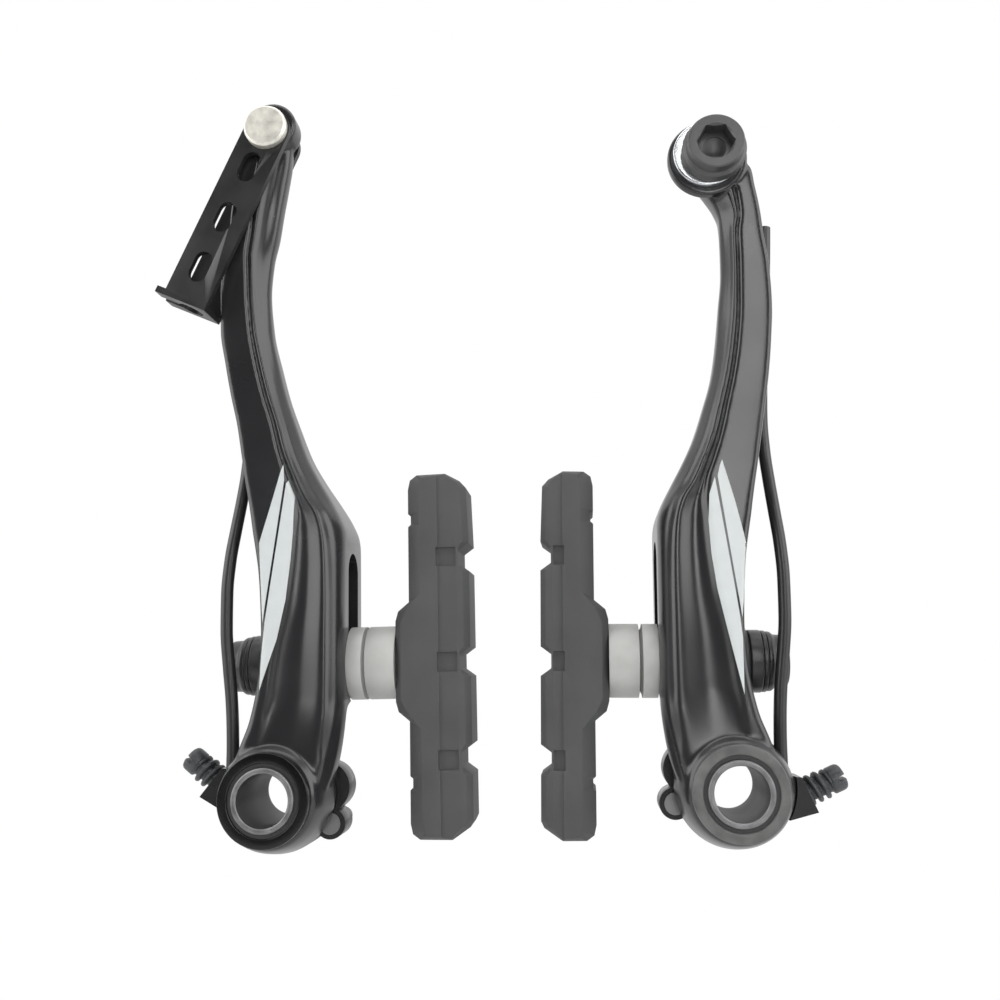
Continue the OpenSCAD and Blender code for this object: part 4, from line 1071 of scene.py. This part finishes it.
def paleMaterial():
    mat = bpy.data.materials.new("paleFloor")
    mat.use_nodes = True
    tree = mat.node_tree
    add, link, pale = tree.nodes.new, tree.links.new, stage["pale"]
    shader = setValues(tree.nodes["Principled BSDF"], {"Base Color": (pale, pale, pale, 1),
                                                       "Roughness": 0.9})
    glow = setValues(add("ShaderNodeEmission"), {"Strength": 1.0})
    mix, path = add("ShaderNodeMixShader"), add("ShaderNodeLightPath")
    link(path.outputs["Is Camera Ray"], mix.inputs["Fac"])
    link(shader.outputs["BSDF"], mix.inputs[1])
    link(glow.outputs["Emission"], mix.inputs[2])
    link(mix.outputs["Shader"], tree.nodes["Material Output"].inputs["Surface"])
    return mat


half = stage["size"] / 2
down = stage["floor"]
floorMesh = meshFrom("floor", [(-half, -half, down), (half, -half, down), (half, half, down),
                               (-half, half, down)], [(0, 1, 2, 3)])
floorMesh.materials.append(paleMaterial())
floor = newObject("floor", floorMesh)

# a dark cloth behind the camera keeps the flat front faces dark
cloth = finish("darkCloth", {"color": (stage["flag"]["shade"],) * 3, "rough": 0.9})
# a panel before the cloth lifts the right arm's front, which faces a little that way
panelGlow = bpy.data.materials.new("dimPanel")
panelGlow.use_nodes = True
setValues(panelGlow.node_tree.nodes["Principled BSDF"],
          {"Emission Color": (1, 1, 1, 1), "Emission Strength": stage["panel"]["glow"]})
for name, material in (("flag", cloth), ("panel", panelGlow)):
    board = block(name, stage[name]["low"], stage[name]["high"])
    board.data.materials.append(material)
    board.visible_camera = False  # out of the way in a view from behind

world = bpy.data.worlds.new("paleWorld")
scene.world = world
world.use_nodes = True
sky = world.node_tree
back = setValues(sky.nodes["Background"], {"Color": (1, 1, 1, 1)})
rays = sky.nodes.new("ShaderNodeLightPath")
seen = setValues(sky.nodes.new("ShaderNodeMapRange"), {"To Min": stage["worldLight"], "To Max": 1.0})
ray = rays.outputs["Is Camera Ray"]
for other in ("Is Glossy Ray", "Is Transmission Ray"):
    either = sky.nodes.new("ShaderNodeMath")
    either.operation = "MAXIMUM"
    sky.links.new(ray, either.inputs[0])
    sky.links.new(rays.outputs[other], either.inputs[1])
    ray = either.outputs[0]
sky.links.new(ray, seen.inputs["Value"])
sky.links.new(seen.outputs["Result"], back.inputs["Strength"])

target = Vector((0, 0, 0.045))
for name, at, size, power in stage["lamps"]:
    light = bpy.data.lights.new(name, "AREA")
    light.shape = "SQUARE"
    light.size = size
    light.energy = power
    lamp = bpy.data.objects.new(name, light)
    scene.collection.objects.link(lamp)
    lamp.location = at
    lamp.rotation_euler = (target - Vector(at)).to_track_quat("-Z", "Y").to_euler()

view = {"at": (13.7435, -170.2507, 18.8102), "yaw": 4.5586, "pitch": 9.6494, "roll": -1.3982,
        "lens": 36.0, "clip": (0.005, 50)}
yaw, pitch, roll = (math.radians(view[k]) for k in ("yaw", "pitch", "roll"))
ahead = Vector((-math.sin(yaw) * math.cos(pitch), math.cos(yaw) * math.cos(pitch), math.sin(pitch)))
level = ahead.cross(Vector((0, 0, 1))).normalized()
upright = level.cross(ahead)
right = level * math.cos(roll) + upright * math.sin(roll)
up = upright * math.cos(roll) - level * math.sin(roll)
camera = bpy.data.objects.new("camera", bpy.data.cameras.new("camera"))
scene.collection.objects.link(camera)
camera.data.lens = view["lens"]
camera.data.sensor_width = 36.0
camera.data.clip_start, camera.data.clip_end = view["clip"]
turn = Matrix((right, up, -ahead)).transposed().to_4x4()
camera.matrix_world = Matrix.Translation(Vector(view["at"]) * mm) @ turn
scene.camera = camera
scene.view_settings.view_transform = "Standard"
print("stage")
